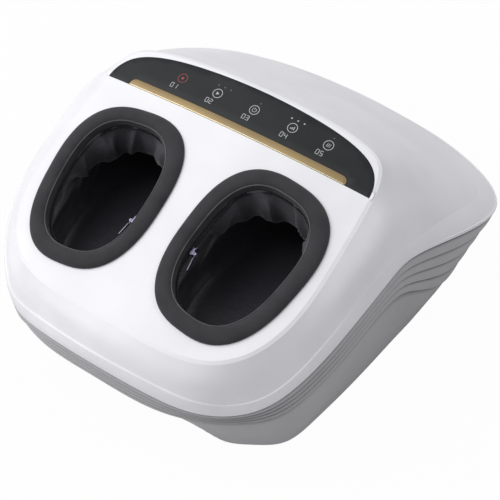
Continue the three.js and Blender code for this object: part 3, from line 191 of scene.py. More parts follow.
def oval(half_width, half_length, count=160):
    """A squared oval."""
    turn = np.linspace(0, 2 * math.pi, 2048, endpoint=False)
    x, y = (np.sign(wave) * np.abs(wave) ** (2 / OVAL_POWER) for wave in (np.cos(turn), np.sin(turn)))
    return even(np.stack([half_width * x, half_length * y], 1), count)


def splayed(flat):
    """Plan points turned outward as the right foot is."""
    c, s = math.cos(-SPLAY), math.sin(-SPLAY)
    return np.stack([flat[:, 0] * c - flat[:, 1] * s, flat[:, 0] * s + flat[:, 1] * c], 1)


def collar_outline(drawn_in, count=160):
    """The collar's outline about its own middle, wider at the toes."""
    flat = oval(COLLAR_HALF[0] - drawn_in, COLLAR_HALF[1] - drawn_in, count)
    flat[:, 0] *= 1 + COLLAR_TAPER * flat[:, 1] / COLLAR_HALF[1]
    return flat


def on_collar(flat, lift):
    """Points about the right collar's middle, put on the deck."""
    spots = splayed(np.atleast_2d(np.asarray(flat, float)))
    return on_deck(spots + (COLLAR_X, COLLAR_V), lift)


def well_axis(y):
    """How far out the right foot well's middle line lies."""
    return COLLAR_X + (y - COLLAR_V * math.cos(TILT)) * math.tan(SPLAY)


def panel_outline(drawn_in, count=120):
    """The crescent of the control panel, across the deck and along its slope."""
    keys = PANEL_REAR + [(0, 1)] + [(-x, v) for x, v in reversed(PANEL_REAR)]
    rear = even(curve_through(keys, PANEL_STEPS, closed=False), count, closed=False)
    return np.stack([rear[:, 0] * (PANEL_HALF - drawn_in),
                     PANEL_FRONT + drawn_in + rear[:, 1] * (PANEL_DEPTH - 2 * drawn_in)], 1)


def circle(radius, height, x, y, sides):
    """A level ring of points."""
    turn = np.linspace(0, 2 * math.pi, sides, endpoint=False)
    return np.column_stack([x + radius * np.cos(turn), y + radius * np.sin(turn), np.full(sides, height)])


# Meshes, each a pair of points and faces
def strips(rings):
    """Quads between one ring of points and the next."""
    count = len(rings[0])
    faces = []
    for k in range(len(rings) - 1):
        a, b = k * count, (k + 1) * count
        for i in range(count):
            j = (i + 1) % count
            faces.append((a + i, a + j, b + j, b + i))
    return np.concatenate(rings), faces


def capped(rings):
    """A skin through the rings with a fan over each end."""
    points, faces = strips(rings)
    count, last = len(rings[0]), (len(rings) - 1) * len(rings[0])
    points = np.vstack([points, rings[0].mean(0), rings[-1].mean(0)])
    first_middle, last_middle = len(points) - 2, len(points) - 1
    for i in range(count):
        j = (i + 1) % count
        faces.append((first_middle, j, i))
        faces.append((last_middle, last + i, last + j))
    return points, faces


def hoop(sections):
    """A closed hoop through closed sections."""
    count, sides = len(sections), len(sections[0])
    faces = []
    for k in range(count):
        a, b = k * sides, ((k + 1) % count) * sides
        for i in range(sides):
            j = (i + 1) % sides
            faces.append((a + i, b + i, b + j, a + j))
    return np.concatenate(sections), faces


def looped(rings):
    """A closed hoop whose section has one point on each ring."""
    rings = np.asarray(rings)
    return hoop([rings[:, i] for i in range(rings.shape[1])])


def bars(radius, low, high, spots, sides=40, chamfer=.4):
    """Upright round bars, one over each plan point."""
    rows = [(radius - chamfer, low), (radius, low + chamfer), (radius, high - chamfer),
            (radius - chamfer, high)]
    return [capped([circle(r, z, x, y, sides) for r, z in rows]) for x, y in spots]


def inside(points, loop):
    """Which plan points lie in a loop."""
    x, y = points[:, 0][:, None], points[:, 1][:, None]
    ax, ay = loop[:, 0][None], loop[:, 1][None]
    bx, by = np.roll(loop[:, 0], -1)[None], np.roll(loop[:, 1], -1)[None]
    rise = np.where(by == ay, 1e-9, by - ay)
    cross = ((ay > y) != (by > y)) & (x < (bx - ax) * (y - ay) / rise + ax)
    return cross.sum(1) % 2 == 1


def between(points, loops):
    """Which plan points lie in the first loop and in none of the others."""
    keep = inside(points, loops[0])
    for loop in loops[1:]:
        keep &= ~inside(points, loop)
    return keep


def filled(loops, pitch):
    """Triangles between an outer loop and its holes, the loops kept as drawn."""
    spots = [np.asarray(loop)[:, :2] for loop in loops]
    low, high = spots[0].min(0), spots[0].max(0)
    rows = np.arange(low[1], high[1], pitch * .866)
    grid = np.array([(x + (pitch / 2 if k % 2 else 0), y)
                     for k, y in enumerate(rows) for x in np.arange(low[0], high[0], pitch)])
    grid = grid[between(grid, spots)]
    far = np.ones(len(grid), bool)
    for loop in spots:
        for part in np.array_split(np.arange(len(grid)), 40):
            if len(part):
                gap = np.linalg.norm(grid[part][:, None] - loop[None], axis=2).min(1)
                far[part] &= gap > pitch * .55
    edges, start = [], 0
    for loop in spots:
        edges += [(start + i, start + (i + 1) % len(loop)) for i in range(len(loop))]
        start += len(loop)
    everything = [Vector(spot) for spot in np.vstack([*spots, grid[far]])]
    verts, _, faces, _, _, _ = delaunay_2d_cdt(everything, edges, [], 0, 1e-5)
    flat = np.array([tuple(v) for v in verts])
    faces = [face for face in faces if len(face) >= 3]
    keep = between(np.array([flat[list(face)].mean(0) for face in faces]), spots)
    return flat, [face for face, kept in zip(faces, keep) if kept]


def joined(*parts):
    """One mesh from several."""
    points, faces, start = [], [], 0
    for part_points, part_faces in parts:
        points.append(np.asarray(part_points))
        faces += [tuple(start + i for i in face) for face in part_faces]
        start += len(part_points)
    return np.concatenate(points), faces


def box_mesh(low, high):
    """A plain box, used as a cutter."""
    x0, y0, z0 = low
    x1, y1, z1 = high
    points = [(x, y, z) for z in (z0, z1) for y in (y0, y1) for x in (x0, x1)]
    faces = [(0, 2, 3, 1), (4, 5, 7, 6), (0, 1, 5, 4), (2, 6, 7, 3), (0, 4, 6, 2), (1, 3, 7, 5)]
    return np.array(points, float), faces


def mirrored(mesh, side):
    """A right piece's mesh, or its mirror image where side is -1."""
    return mesh[0] * (side, 1, 1), mesh[1]


# Pieces in the scene
MERGE = 1e-6        # metres
SHARP = 35.0        # degrees between faces from which an edge is drawn sharp


def new_object(name, mesh):
    """An object in the scene."""
    data = bpy.data.meshes.new(name)
    data.from_pydata([tuple(p) for p in np.asarray(mesh[0]) * MM], [], [tuple(f) for f in mesh[1]])
    obj = bpy.data.objects.new(name, data)
    bpy.context.scene.collection.objects.link(obj)
    return obj


def face_outward(data, merge=None):
    """Turns a mesh's faces outward, and first joins its points where a distance is given."""
    bm = bmesh.new()
    bm.from_mesh(data)
    if merge:
        bmesh.ops.remove_doubles(bm, verts=bm.verts, dist=merge)
    bmesh.ops.recalc_face_normals(bm, faces=bm.faces)
    bm.to_mesh(data)
    bm.free()


def shade(data, sharp):
    """Shades a mesh smooth, with its sharp edges kept where an angle is given."""
    data.shade_smooth()
    if sharp is not None:
        data.set_sharp_from_angle(angle=math.radians(sharp))


def make(name, mesh, slot, replaces=(), material=None, body="body", sharp=SHARP, groove_shade=None):
    """A piece that rides on a body, in its slot's material unless another is given."""
    obj = new_object(name, mesh)
    # Optional amounts of painted shade, one per point, kept as a point attribute for the material
    if groove_shade is not None:
        obj.data.attributes.new("groove_shade", "FLOAT", "POINT").data.foreach_set("value", groove_shade)
    obj.data.materials.append(material or by_slot[slot])
    face_outward(obj.data, MERGE)
    shade(obj.data, sharp)
    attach(obj, body)
    if replaces:
        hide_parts(*replaces)
    return obj


def bake(obj, sharp=SHARP):
    """Turns a piece's modifiers into its mesh."""
    graph = bpy.context.evaluated_depsgraph_get()
    data = bpy.data.meshes.new_from_object(obj.evaluated_get(graph))
    data.validate()
    obj.modifiers.clear()
    obj.data = data
    shade(data, sharp)


def thicken(obj, thickness, sharp=SHARP):
    """Gives an open skin a wall on its inner side."""
    change = obj.modifiers.new("wall", "SOLIDIFY")
    change.thickness, change.offset = thickness * MM, -1
    bake(obj, sharp)


def cut(obj, mesh, kind="DIFFERENCE"):
    """Cuts a closed mesh out of a piece, or adds it with kind UNION."""
    tool = new_object("tool", mesh)
    face_outward(tool.data)
    change = obj.modifiers.new("cut", "BOOLEAN")
    change.operation, change.solver, change.object = kind, "EXACT", tool
    bake(obj)
    bpy.data.objects.remove(tool)


# Materials
def hex_colour(text):
    """A linear colour from its sRGB hex code."""
    shares = [int(text[i:i + 2], 16) / 255 for i in (1, 3, 5)]
    return (*(v / 12.92 if v <= .04045 else ((v + .055) / 1.055) ** 2.4 for v in shares), 1.0)


class Look:
    """A node material, its parts linked in the order they are asked for."""

    def __init__(self, name, values):
        self.material = bpy.data.materials.new(name)
        self.material.use_nodes = True
        self.tree = self.material.node_tree
        self.shader = self.tree.nodes["Principled BSDF"]
        for key, value in values.items():
            self.shader.inputs[key].default_value = value
        self.place = self.tree.nodes.new("ShaderNodeTexCoord").outputs["Object"]

    def node(self, kind, inputs=None, **settings):
        made = self.tree.nodes.new(f"ShaderNode{kind}")
        for key, value in settings.items():
            setattr(made, key, value)
        for key, value in (inputs or {}).items():
            made.inputs[key].default_value = value
        return made

    def link(self, a, b):
        self.tree.links.new(a, b)

    def stretched(self, scale):
        """The object's own coordinates, scaled."""
        mapping = self.node("Mapping", {"Scale": scale})
        self.link(self.place, mapping.inputs["Vector"])
        return mapping.outputs["Vector"]

    def noise(self, per_mm, detail=3.0, rough=.55, place=None):
        made = self.node("TexNoise", {"Scale": per_mm / MM, "Detail": detail, "Roughness": rough})
        self.link(place or self.place, made.inputs["Vector"])
        return made.outputs["Fac"]

    def threads(self, per_mm):
        """The crossed threads of a plain weave."""
        ways = []
        for direction in "XY":
            made = self.node("TexWave", {"Scale": per_mm / MM / 3.2, "Distortion": .6},
                             bands_direction=direction)
            self.link(self.place, made.inputs["Vector"])
            ways.append(made.outputs["Fac"])
        return self.combine("MULTIPLY", *ways)

    def ramp(self, source, stops):
        """A ramp through hex colours or grey values."""
        made = self.node("ValToRGB")
        marks = made.color_ramp.elements
        while len(marks) < len(stops):
            marks.new(.5)
        for mark, (at, colour) in zip(marks, stops):
            mark.position = at
            mark.color = hex_colour(colour) if isinstance(colour, str) else (colour,) * 3 + (1,)
        self.link(source, made.inputs["Fac"])
        return made.outputs["Color"]

    def combine(self, kind, first, second):
        made = self.node("Math", operation=kind)
        for socket, value in zip(made.inputs, (first, second)):
            if isinstance(value, (int, float)):
                socket.default_value = value
            else:
                self.link(value, socket)
        return made.outputs[0]

    def weighted(self, first, share, second, other_share):
        """A weighted sum of two values."""
        return self.combine("ADD", self.combine("MULTIPLY", first, share),
                            self.combine("MULTIPLY", second, other_share))

    def colour(self, source, stops):
        self.link(self.ramp(source, stops), self.shader.inputs["Base Color"])

    def rough(self, source, low, high):
        self.link(self.ramp(source, [(.3, low), (.7, high)]), self.shader.inputs["Roughness"])

    def bump(self, source, height_mm, strength):
        """Adds a bump over those before it."""
        made = self.node("Bump", {"Distance": height_mm * MM, "Strength": strength})
        self.link(source, made.inputs["Height"])
        before = self.shader.inputs["Normal"].links
        if before:
            self.link(before[0].from_socket, made.inputs["Normal"])
        self.link(made.outputs["Normal"], self.shader.inputs["Normal"])


def plastic(name, dark, light, rough=(.34, .42), grain=.02, per_mm=1.2, specular=.5):
    """Moulded plastic: a slow change of tone and gloss, and a fine grain."""
    look = Look(name, {"Specular IOR Level": specular})
    look.colour(look.noise(.02, 2), [(.35, dark), (.65, light)])
    look.rough(look.noise(.08, 3), *rough)
    look.bump(look.noise(per_mm, 2), grain, .6)
    return look.material


def metal(name, dark, light, rough=(.28, .4), along=(1, 1, 1), scratch=.01):
    """Metal with a fine drawn grain."""
    look = Look(name, {"Metallic": 1.0})
    fine = look.noise(1.5, 3, place=look.stretched(along))
    look.colour(fine, [(.3, dark), (.7, light)])
    look.rough(fine, *rough)
    look.bump(fine, scratch, .5)
    return look.material


def cloth(name, dark, light, weave, height=.1, sheen=.25):
    """Fine woven cloth: crossed threads, a little fuzz and a slow change of tone."""
    look = Look(name, {"Roughness": .9, "Sheen Weight": sheen, "Sheen Roughness": .5,
                       "Specular IOR Level": .35})
    fuzz = look.noise(2.5, 2)
    look.colour(look.weighted(look.noise(.05, 3), .6, fuzz, .4), [(.3, dark), (.7, light)])
    look.bump(look.threads(weave), height, .5)
    look.bump(fuzz, height * .6, .5)
    return look.material


def ribbed_grey(name):
    """Moulded grey plastic, with shade painted darker down in the grooves between its ribs."""
    look = Look(name, {})
    groove_shade = look.node("Attribute", attribute_name="groove_shade").outputs["Fac"]
    slow = look.combine("MULTIPLY", look.noise(.02, 2), .12)
    # Painted shade: the per-point attribute darkens the grey towards #505051 under each rib's step; the noise
    # is a slow random change of tone.
    look.colour(look.combine("ADD", groove_shade, slow), [(0, "#bababb"), (.12, "#afafb0"), (1, "#505051")])
    look.rough(look.noise(.08, 3), .42, .5)
    look.bump(look.noise(1.2, 2), .012, .6)
    return look.material


def satin(name):
    """Thin lining satin, with light and shade painted by height: paler up at the hem than down in the well.
    """
    look = Look(name, {"Roughness": .4, "Sheen Weight": .3, "Sheen Roughness": .4})
    split = look.node("SeparateXYZ")
    look.link(look.place, split.inputs[0])
    # Painted light and shade: the colour follows the height, paler up at the hem than lower in the well, with
    # a slow random change of tone.
    look.colour(look.weighted(split.outputs["Z"], 1 / (190 * MM), look.noise(.04, 2), .12),
                [(.42, "#36363c"), (.62, "#303035"), (.8, "#56565b")])
    look.bump(look.threads(1.6), .03, .4)
    look.bump(look.noise(.11, 3, .6), 1.1, .55)
    return look.material


def painted_gold(name):
    """Gold paint with a fine brushed grain along the strip."""
    look = Look(name, {"Metallic": .35})
    fine = look.noise(1.5, 3, place=look.stretched((.03, 1, 1)))
    look.colour(look.weighted(fine, .35, look.noise(.012, 1), .65), [(.35, "#8d7856"), (.65, "#a28d61")])
    look.rough(fine, .46, .54)
    look.bump(fine, .008, .5)
    return look.material


def printed(name, colour):
    """Printing ink in one colour."""
    look = Look(name, {"Roughness": .4})
    look.colour(look.noise(2.0, 1), [(.2, colour), (.8, colour)])
    return look.material


by_slot = {
    "cover_white": plastic("cover_white", "#eeeef1", "#f4f4f6", (.3, .36), .006),
    "base_grey": ribbed_grey("base_grey"),
    "panel_black": plastic("panel_black", "#222425", "#272a2b", (.42, .46), .001, specular=.2),
    "trim_gold": painted_gold("trim_gold"),
    "collar_fabric": cloth("collar_fabric", "#2f2f31", "#3f3f41", .7, .22, .12),
    "liner_fabric": satin("liner_fabric"),
    "zip_tape": cloth("zip_tape", "#19191b", "#242427", 1.8),
    "zip_metal": metal("zip_metal", "#6d6b83", "#9a98ae", (.34, .46)),
    "steel": metal("steel", "#8f9194", "#b4b6b9", (.25, .4), along=(1, 1, .1)),
    "worm_brass": metal("worm_brass", "#a1823f", "#c0a15c"),
    "foot_rubber": plastic("foot_rubber", "#222324", "#2b2c2d", (.75, .85), .04, specular=.3),
    "tub_plastic": plastic("tub_plastic", "#37393c", "#414346", (.5, .6), .03),
    "frame_plastic": plastic("frame_plastic", "#66696c", "#727578", (.5, .6), .03),
    "knead_plastic": plastic("knead_plastic", "#d2ccbc", "#ded8ca", (.4, .5)),
    "gear_nylon": plastic("gear_nylon", "#e3dfd3", "#eeeae0", (.4, .5)),
    "heater_rubber": plastic("heater_rubber", "#a94d28", "#bc5a31", (.6, .7), .05),
    "airbag_vinyl": plastic("airbag_vinyl", "#6f7d85", "#7f8d95", (.35, .5), .05),
    "pump_plastic": plastic("pump_plastic", "#2b2d31", "#34363a", (.5, .6), .03),
    "valve_plastic": plastic("valve_plastic", "#dadbd6", "#e4e5e1", (.4, .5)),
    "hose_rubber": plastic("hose_rubber", "#c7ced1", "#d6dde0", (.3, .4)),
    "circuit_board": plastic("circuit_board", "#1a5030", "#24633d", (.35, .5), per_mm=3),
    "inlet_plastic": plastic("inlet_plastic", "#1b1c1d", "#242526", (.45, .55), .03),
}
seam_thread = cloth("seam_thread", "#4c4c4f", "#6e6e71", 1.6)
# A paler gold metal, painted highlight for the line along the gold strip's front
gold_highlight = metal("trim_highlight", "#d2c49a", "#e2d6b2", (.3, .4))
pull_alloy = metal("pull_metal", "#514f5b", "#8f8d9a", (.4, .55), along=(1, 3, 1), scratch=.12)
mark_grey = printed("mark_grey", "#b4b6b7")
mark_dim = printed("mark_dim", "#55585a")
mark_red = printed("mark_red", "#8d2a2e")

for part in frame["record"]["subparts"]:
    for slot in frame["nodes"][part["node"]].material_slots:
        slot.material = by_slot[part["material_slot"]]

# Top cover
SKIRT_FLATTEN = .6      # how far the front of the skirt is drawn flat between deck and crease
LEDGE = 1.6             # how far the lip stands out from the foot of the skirt at the front
LEDGE_AT_REAR = .12     # share of the ledge that is left at the rear
FRONT_FROM, FRONT_FADE = 60, 100
LIP_SWELL, LIP_TURN = .8, 2.4
DECK_CHAMFER, CREASE_ROUND, PARTING_ROUND = 2.2, 1.1, .8
COVER_WALL, COVER_SHARP = 2.4, 50
HOLE_EDGE = ((-.8, 0), (-.25, -.2), (0, -.8), (0, -WALL))      # inset from the hole, and lift
RECESS_DEPTH = 1.8
DECK_PITCH = 5.0

edge = over_plan(curve_through(mirrored_keys(DECK_EDGE, (HALF_WIDTH, HALF_DEPTH)), STEPS))
shoulder, crease, parting = body_ring(SHOULDER), body_ring(CREASE), body_ring(PARTING)
lip = inset((crease + parting) / 2, -LIP_SWELL)
upper = np.linalg.norm(shoulder - edge, axis=1)
lower = np.linalg.norm(crease - shoulder, axis=1)
chord = edge + (crease - edge) * (upper / (upper + lower))[:, None]
frontal = np.clip((-edge[:, 1] - FRONT_FROM) / FRONT_FADE, 0, 1)
shoulder = shoulder + (chord - shoulder) * (SKIRT_FLATTEN * frontal)[:, None]
crease_foot = inset(crease, LEDGE * (LEDGE_AT_REAR + (1 - LEDGE_AT_REAR) * frontal))


def through(a, b, c, t):
    """A curve from a at 0 through b to c at 1 that leaves a and meets c along its chords."""
    first, second = np.linalg.norm(b - a, axis=1)[:, None], np.linalg.norm(c - b, axis=1)[:, None]
    m = first / (first + second)
    t = np.broadcast_to(np.asarray(t, float).reshape(-1, 1), (len(a), 1))
    start, end = (b - a) / m, (c - b) / (1 - m)
    middle = start * (1 - m) + end * m
    early = t < m
    span = np.where(early, m, 1 - m)
    leave, meet = np.where(early, start, middle) * span, np.where(early, middle, end) * span
    u = np.where(early, t / m, (t - m) / (1 - m))
    return hermite(np.where(early, a, b), np.where(early, b, c), leave, meet, u)


def corner(a, mid, b, count):
    """Rings round a corner from a to b."""
    return [(1 - t) ** 2 * a + 2 * t * (1 - t) * mid + t * t * b for t in np.linspace(0, 1, count)]


def chamfer(a, mid, b, round_share=.3):
    """Rings over a flat chamfer from a to b, rounded a little where it meets either side."""
    first, last = a + (b - a) * round_share, b + (a - b) * round_share
    towards = mid - (a + b) / 2
    near, far = a + towards * round_share, b + towards * round_share
    return [*corner(a, near, first, 3), *corner(last, far, b, 3)]


def skirt(t):
    """A ring of the skirt, from the deck's edge at 0 to the crease at 1."""
    return through(edge, shoulder, crease_foot, t)


def lip_face(t):
    """A ring of the lip's face, from the crease at 0 to the parting line at 1."""
    return through(crease, lip, parting, t)


def spread(low, high, count):
    """Places between two ends, the ends left out."""
    return [low + (high - low) * k for k in np.linspace(0, 1, count)[1:-1]]


def cover_rings():
    """Rings down the outside of the cover, from its deck to the parting line."""
    length = np.linalg.norm(shoulder - edge, axis=1) + np.linalg.norm(crease - shoulder, axis=1)
    lip_length = np.linalg.norm(crease - lip, axis=1) + np.linalg.norm(parting - lip, axis=1)
    inner = over_plan(inset(edge, DECK_CHAMFER)[:, :2])
    start, end = DECK_CHAMFER / length, 1 - CREASE_ROUND / length
    low, high = CREASE_ROUND / lip_length, 1 - PARTING_ROUND / lip_length
    out = crease - crease_foot
    return [*chamfer(inner, edge, skirt(start)),
            *[skirt(t) for t in spread(start, end, 18)],
            *corner(skirt(end), crease_foot, crease_foot + out * .4, 4),
            *corner(crease_foot + out * .6, crease, lip_face(low), 5),
            *[lip_face(t) for t in spread(low, high, 8)],
            *corner(lip_face(high), parting, inset(parting, LIP_TURN, -.2), 5)]


def deck_parts(rim):
    """The deck inside its rim, with two collar holes and the panel's recess."""
    edges = [on_collar(collar_outline(COLLAR_HOLE + inward), lift) for inward, lift in HOLE_EDGE]
    recess = even(panel_outline(0) * (1, math.cos(TILT)), 300)
    flat, faces = filled([rim, edges[0], edges[0] * (-1, 1, 1), recess], DECK_PITCH)
    parts = [(over_plan(flat), faces)]
    for side, _ in SIDES:
        parts.append(strips([ring * (side, 1, 1) for ring in edges]))
    wall = over_plan(recess)
    down = (0, -RECESS_DEPTH * math.sin(TILT), RECESS_DEPTH * math.cos(TILT))
    return [*parts, strips([wall, wall - down])]


rings = cover_rings()
cover = make("cover_shell", joined(strips(rings), *deck_parts(rings[0])), "cover_white", ["top_cover"],
             sharp=None)
thicken(cover, COVER_WALL, COVER_SHARP)

# Base
RIBS = 4
RIB_STEP, RIB_DROP = 2.0, 1.6
RIB_SWELL, FOOT_SWELL = .9, 1.6
GROOVE_DEEP = 3.4       # how far a rib's top runs in behind the rib above it
# Shares of the way down a rib, or down the wall under the ribs, each with how much shade is painted on it
# under the rib above
RIB_SHARES = ((0, 1), (.06, .8), (.14, .35), (.26, 0), (.45, 0), (.65, 0), (.85, 0))
WALL_SHARES = ((0, .8), (.05, .3), (.12, 0), (.3, 0), (.5, 0), (.7, 0), (.86, 0))
# How a rib's foot turns in: inset, drop and how much shade is painted on it
RIB_FOOT = ((-.1, -.5, 0), (.1, 0, .1), (.6, .25, .7), (GROOVE_DEEP, .3, 1), (GROOVE_DEEP - .5, 1.0, 1))
FLOOR_ROUND, FLOOR_INSET, INSIDE_INSET = 3.0, 4.0, 5.0
# Round bars that are added or cut: radius, low and high end
POST, SCREW_WELL, SCREW_HOLE, FOOT_SOCKET = (5.5, 6.5, 60), (4.0, -1, 46), (1.9, 40, 70), (10.3, -1, 7)
CUT_CHAMFER = .01
INLET_CUT = (173, 221)      # Y of the cut for the inlet
RUBBER_PROFILE = [(3.2, .9), (3.4, .5), (3.8, .25), (4.4, 0), (8.4, 0), (9.2, .12), (9.75, .5),
                  (10, 1.1), (10, 6.2), (9.7, 6.7)]

rib_end = body_ring(RIB_END)
floor_ring = body_ring([(x, y, FOOT_HEIGHT / COVER_HEIGHT) for x, y in FLOOR_LINE])


def base_rings():
    """Rings down the outside of the base, each with how much shade is painted on it under the rib above."""
    rings = []
    start = inset(parting, 1.2, .5)
    for rib in range(1, RIBS + 1):
        end = parting + (rib_end - parting) * rib / RIBS
        for t, dark in RIB_SHARES:
            rings.append((inset(start + (end - start) * t, -RIB_SWELL * math.sin(math.pi * t)), dark))
        rings += [(inset(end, inward, drop), dark) for inward, drop, dark in RIB_FOOT]
        start = inset(end, RIB_STEP, RIB_DROP)
    for t, dark in WALL_SHARES:
        rings.append((inset(start + (floor_ring - start) * t, -FOOT_SWELL * math.sin(math.pi * t)), dark))
    low = inset(floor_ring, FLOOR_ROUND)
    near = start + (floor_ring - start) * .95
    rings += [(ring, 0) for ring in corner(near, floor_ring, low, 5)]
    middle = np.array([0, 0, FOOT_HEIGHT])
    return rings + [(middle + (low - middle) * k, 0) for k in (.8, .6, .4, .2)]


def base_inside():
    """Rings of the base's inner face, from the middle of its floor up to the parting line."""
    middle = np.array([0, 0, FOOT_HEIGHT + WALL])
    low = inset(floor_ring, FLOOR_INSET, -WALL)
    rings = [middle + (low - middle) * k for k in (.2, .4, .6, .8, 1)]
    return [*rings, inset(rib_end, INSIDE_INSET, -1.5), inset(parting, INSIDE_INSET),
            inset(parting, INSIDE_INSET, .5)]


def make_base():
    """The base tray with its screw posts, screw holes, foot sockets and inlet opening, and the feet."""
    graded = base_rings()[::-1]
    skin = capped([*[ring for ring, _ in graded], *base_inside()[::-1]])
    # Painted shade: each ring's amount of darkening, kept per point for the base's material
    groove_shade = np.zeros(len(skin[0]), np.float32)
    for number, (ring, dark) in enumerate(graded):
        groove_shade[number * len(ring):(number + 1) * len(ring)] = dark
    base = make("base_tray", skin, "base_grey", ["base_shell"], sharp=None, groove_shade=groove_shade)
    posts, feet = ([(side * x * HALF_WIDTH, y * HALF_DEPTH) for side, _ in SIDES for x, y in shares]
                   for shares in (POSTS, FEET))
    half_x, half_z = (half + INLET_GAP for half in INLET_HALF)
    opening = box_mesh((INLET_X - half_x, INLET_CUT[0], INLET_HEIGHT - half_z),
                       (INLET_X + half_x, INLET_CUT[1], INLET_HEIGHT + half_z))
    cut(base, joined(*bars(*POST, posts)), "UNION")
    cut(base, joined(*bars(*SCREW_WELL, posts, 32, CUT_CHAMFER), *bars(*FOOT_SOCKET, feet, 48, CUT_CHAMFER),
                     opening))
    cut(base, joined(*bars(*SCREW_HOLE, posts, 24, CUT_CHAMFER)))
    for number, (x, y) in enumerate(feet, 1):
        rubber = capped([circle(radius, height, x, y, 48) for radius, height in RUBBER_PROFILE])
        make(f"foot_{number}", rubber, "foot_rubber", [f"rubber_foot_{number}"])


make_base()

# Control panel: low face, high face, rounding and pitch of each plate
GLASS, STRIP, STRIP_HIGHLIGHT = (-1.5, 0.0, .15, 6.0), (-1.5, .4, .35, 4.0), (.3, .46, .04, 3.0)
LINE_END, LINE_NEAR, LINE_FAR = .8, .5, 1.2     # where the line of painted highlight lies within the strip


def deck_slab(outline, low, high, round_off, pitch):
    """A plate that follows the deck, with its upper edge rounded off."""
    loop = even(outline, len(outline) * 2)
    along = np.roll(loop, -1, 0) - np.roll(loop, 1, 0)
    normal = np.stack([along[:, 1], -along[:, 0]], 1)
    normal /= np.linalg.norm(normal, axis=1)[:, None]
    outward = normal * np.sign(((loop - outline.mean(0)) * normal).sum(1).mean())
    top, bend = loop - outward * round_off, loop - outward * (round_off * .3)
    flat, faces = filled([top], pitch)
    rings = [on_deck(top, high), on_deck(bend, high - round_off * .3),
             on_deck(loop, high - round_off), on_deck(loop, low)]
    return joined((on_deck(flat, high), faces), strips(rings),
                  (on_deck(flat, low), [face[::-1] for face in faces]),
                  strips([on_deck(loop, low), on_deck(top, low)]))


def trim_outline(grown):
    """The gold strip's outline: square at the front, round at its rear corners."""
    half = TRIM_HALF + grown
    front = PANEL_FRONT + PANEL_GAP - grown
    rear = PANEL_FRONT + PANEL_GAP + TRIM_DEPTH + grown
    turn = np.linspace(0, math.pi / 2, 12)
    right = np.stack([half - TRIM_RADIUS + TRIM_RADIUS * np.cos(turn),
                      rear - TRIM_RADIUS + TRIM_RADIUS * np.sin(turn)], 1)
    return np.vstack([[(-half, front), (half, front)], right, right[::-1] * (-1, 1)])


def make_panel():
    """The black panel round the gold strip, and a pale line of painted highlight along the strip's front."""
    end, front = TRIM_HALF + PANEL_GAP, PANEL_FRONT + PANEL_GAP
    glass = np.vstack([panel_outline(PANEL_GAP), [(-end, front)], trim_outline(PANEL_GAP)[2:][::-1],
                       [(end, front)]])
    make("panel_glass", deck_slab(even(glass, 700), *GLASS), "panel_black", ["control_panel"])
    make("gold_strip", deck_slab(even(trim_outline(0), 260), *STRIP), "trim_gold", ["panel_trim"])
    half, near, far = TRIM_HALF - LINE_END, PANEL_FRONT + LINE_NEAR, PANEL_FRONT + LINE_FAR
    line = even([(-half, near), (half, near), (half, far), (-half, far)], 400)
    # Painted highlight: a paler metal line along the gold strip's front edge
    make("gold_strip_highlight", deck_slab(line, *STRIP_HIGHLIGHT), "trim_gold", material=gold_highlight)


make_panel()

# Printed marks, across the deck and along its slope
MARK_LIFT, MARK_THICK = .06, .05
ICON_V, LIGHT_V, NUMBER_V = 38.3, 46.6, 28.3
STOP_X, AUTO_X, POWER_X, STRENGTH_X, HEATER_X = -74.2, -33.9, 7.3, 48.8, 87.0
ICON_RING = (5.0, 4.35)
LIGHT_PITCH, LIGHT_SHIFT, LIGHT_RADIUS, LIGHT_SIDES = 6.8, 1.0, .8, 14
NUMBER_HALF, NUMBER_STROKE, NUMBER_SPACE, NUMBER_SHIFT = (1.35, 2.3), .55, 1.5, -3.6

# The bars of a plain digit: across at the top, middle and bottom, then the four uprights
BAR_ENDS = {
    "t": (-1, 1, 1, 1), "m": (-1, 0, 1, 0), "u": (-1, -1, 1, -1),
    "a": (-1, 0, -1, 1), "b": (1, 0, 1, 1), "c": (-1, -1, -1, 0), "d": (1, -1, 1, 0),
}
DIGITS = {"0": "tuabcd", "1": "bd", "2": "tmubc", "3": "tmubd", "4": "mabd", "5": "tmuad"}


def flat_mark(spots, faces):
    """A mark just off the panel."""
    return on_deck(np.array(spots, float), MARK_LIFT), faces


def ring_mark(x, v, outer_radius, inner_radius, start=0.0, end=360.0, steps=40):
    """A ring, or a part of one between two angles."""
    turn = np.radians(np.linspace(start, end, steps))
    spots = [(x + r * math.cos(a), v + r * math.sin(a)) for r in (outer_radius, inner_radius) for a in turn]
    return flat_mark(spots, [(i, i + 1, steps + i + 1, steps + i) for i in range(steps - 1)])


def bar_mark(x0, v0, x1, v1, width):
    """A straight bar between two points."""
    a, b = np.array([x0, v0], float), np.array([x1, v1], float)
    along = b - a
    across = np.array([-along[1], along[0]]) / np.linalg.norm(along) * width / 2
    return flat_mark([a - across, b - across, b + across, a + across], [(0, 1, 2, 3)])


def number_marks(text, x, v):
    """A number in plain bars."""
    parts = []
    half_x, half_v = NUMBER_HALF
    for place, digit in enumerate(text):
        middle = x + (place - (len(text) - 1) / 2) * (2 * half_x + NUMBER_SPACE)
        for bar in DIGITS[digit]:
            x0, v0, x1, v1 = BAR_ENDS[bar]
            parts.append(bar_mark(middle + x0 * half_x, v + v0 * half_v, middle + x1 * half_x,
                                  v + v1 * half_v, NUMBER_STROKE))
    return parts


def wave_mark(x, v, height, swing, width):
    """An upright wave."""
    spots = [(x + swing * math.sin(math.pi * s), v + height * s) for s in np.linspace(-1, 1, 9)]
    return [bar_mark(*a, *b, width) for a, b in zip(spots, spots[1:])]


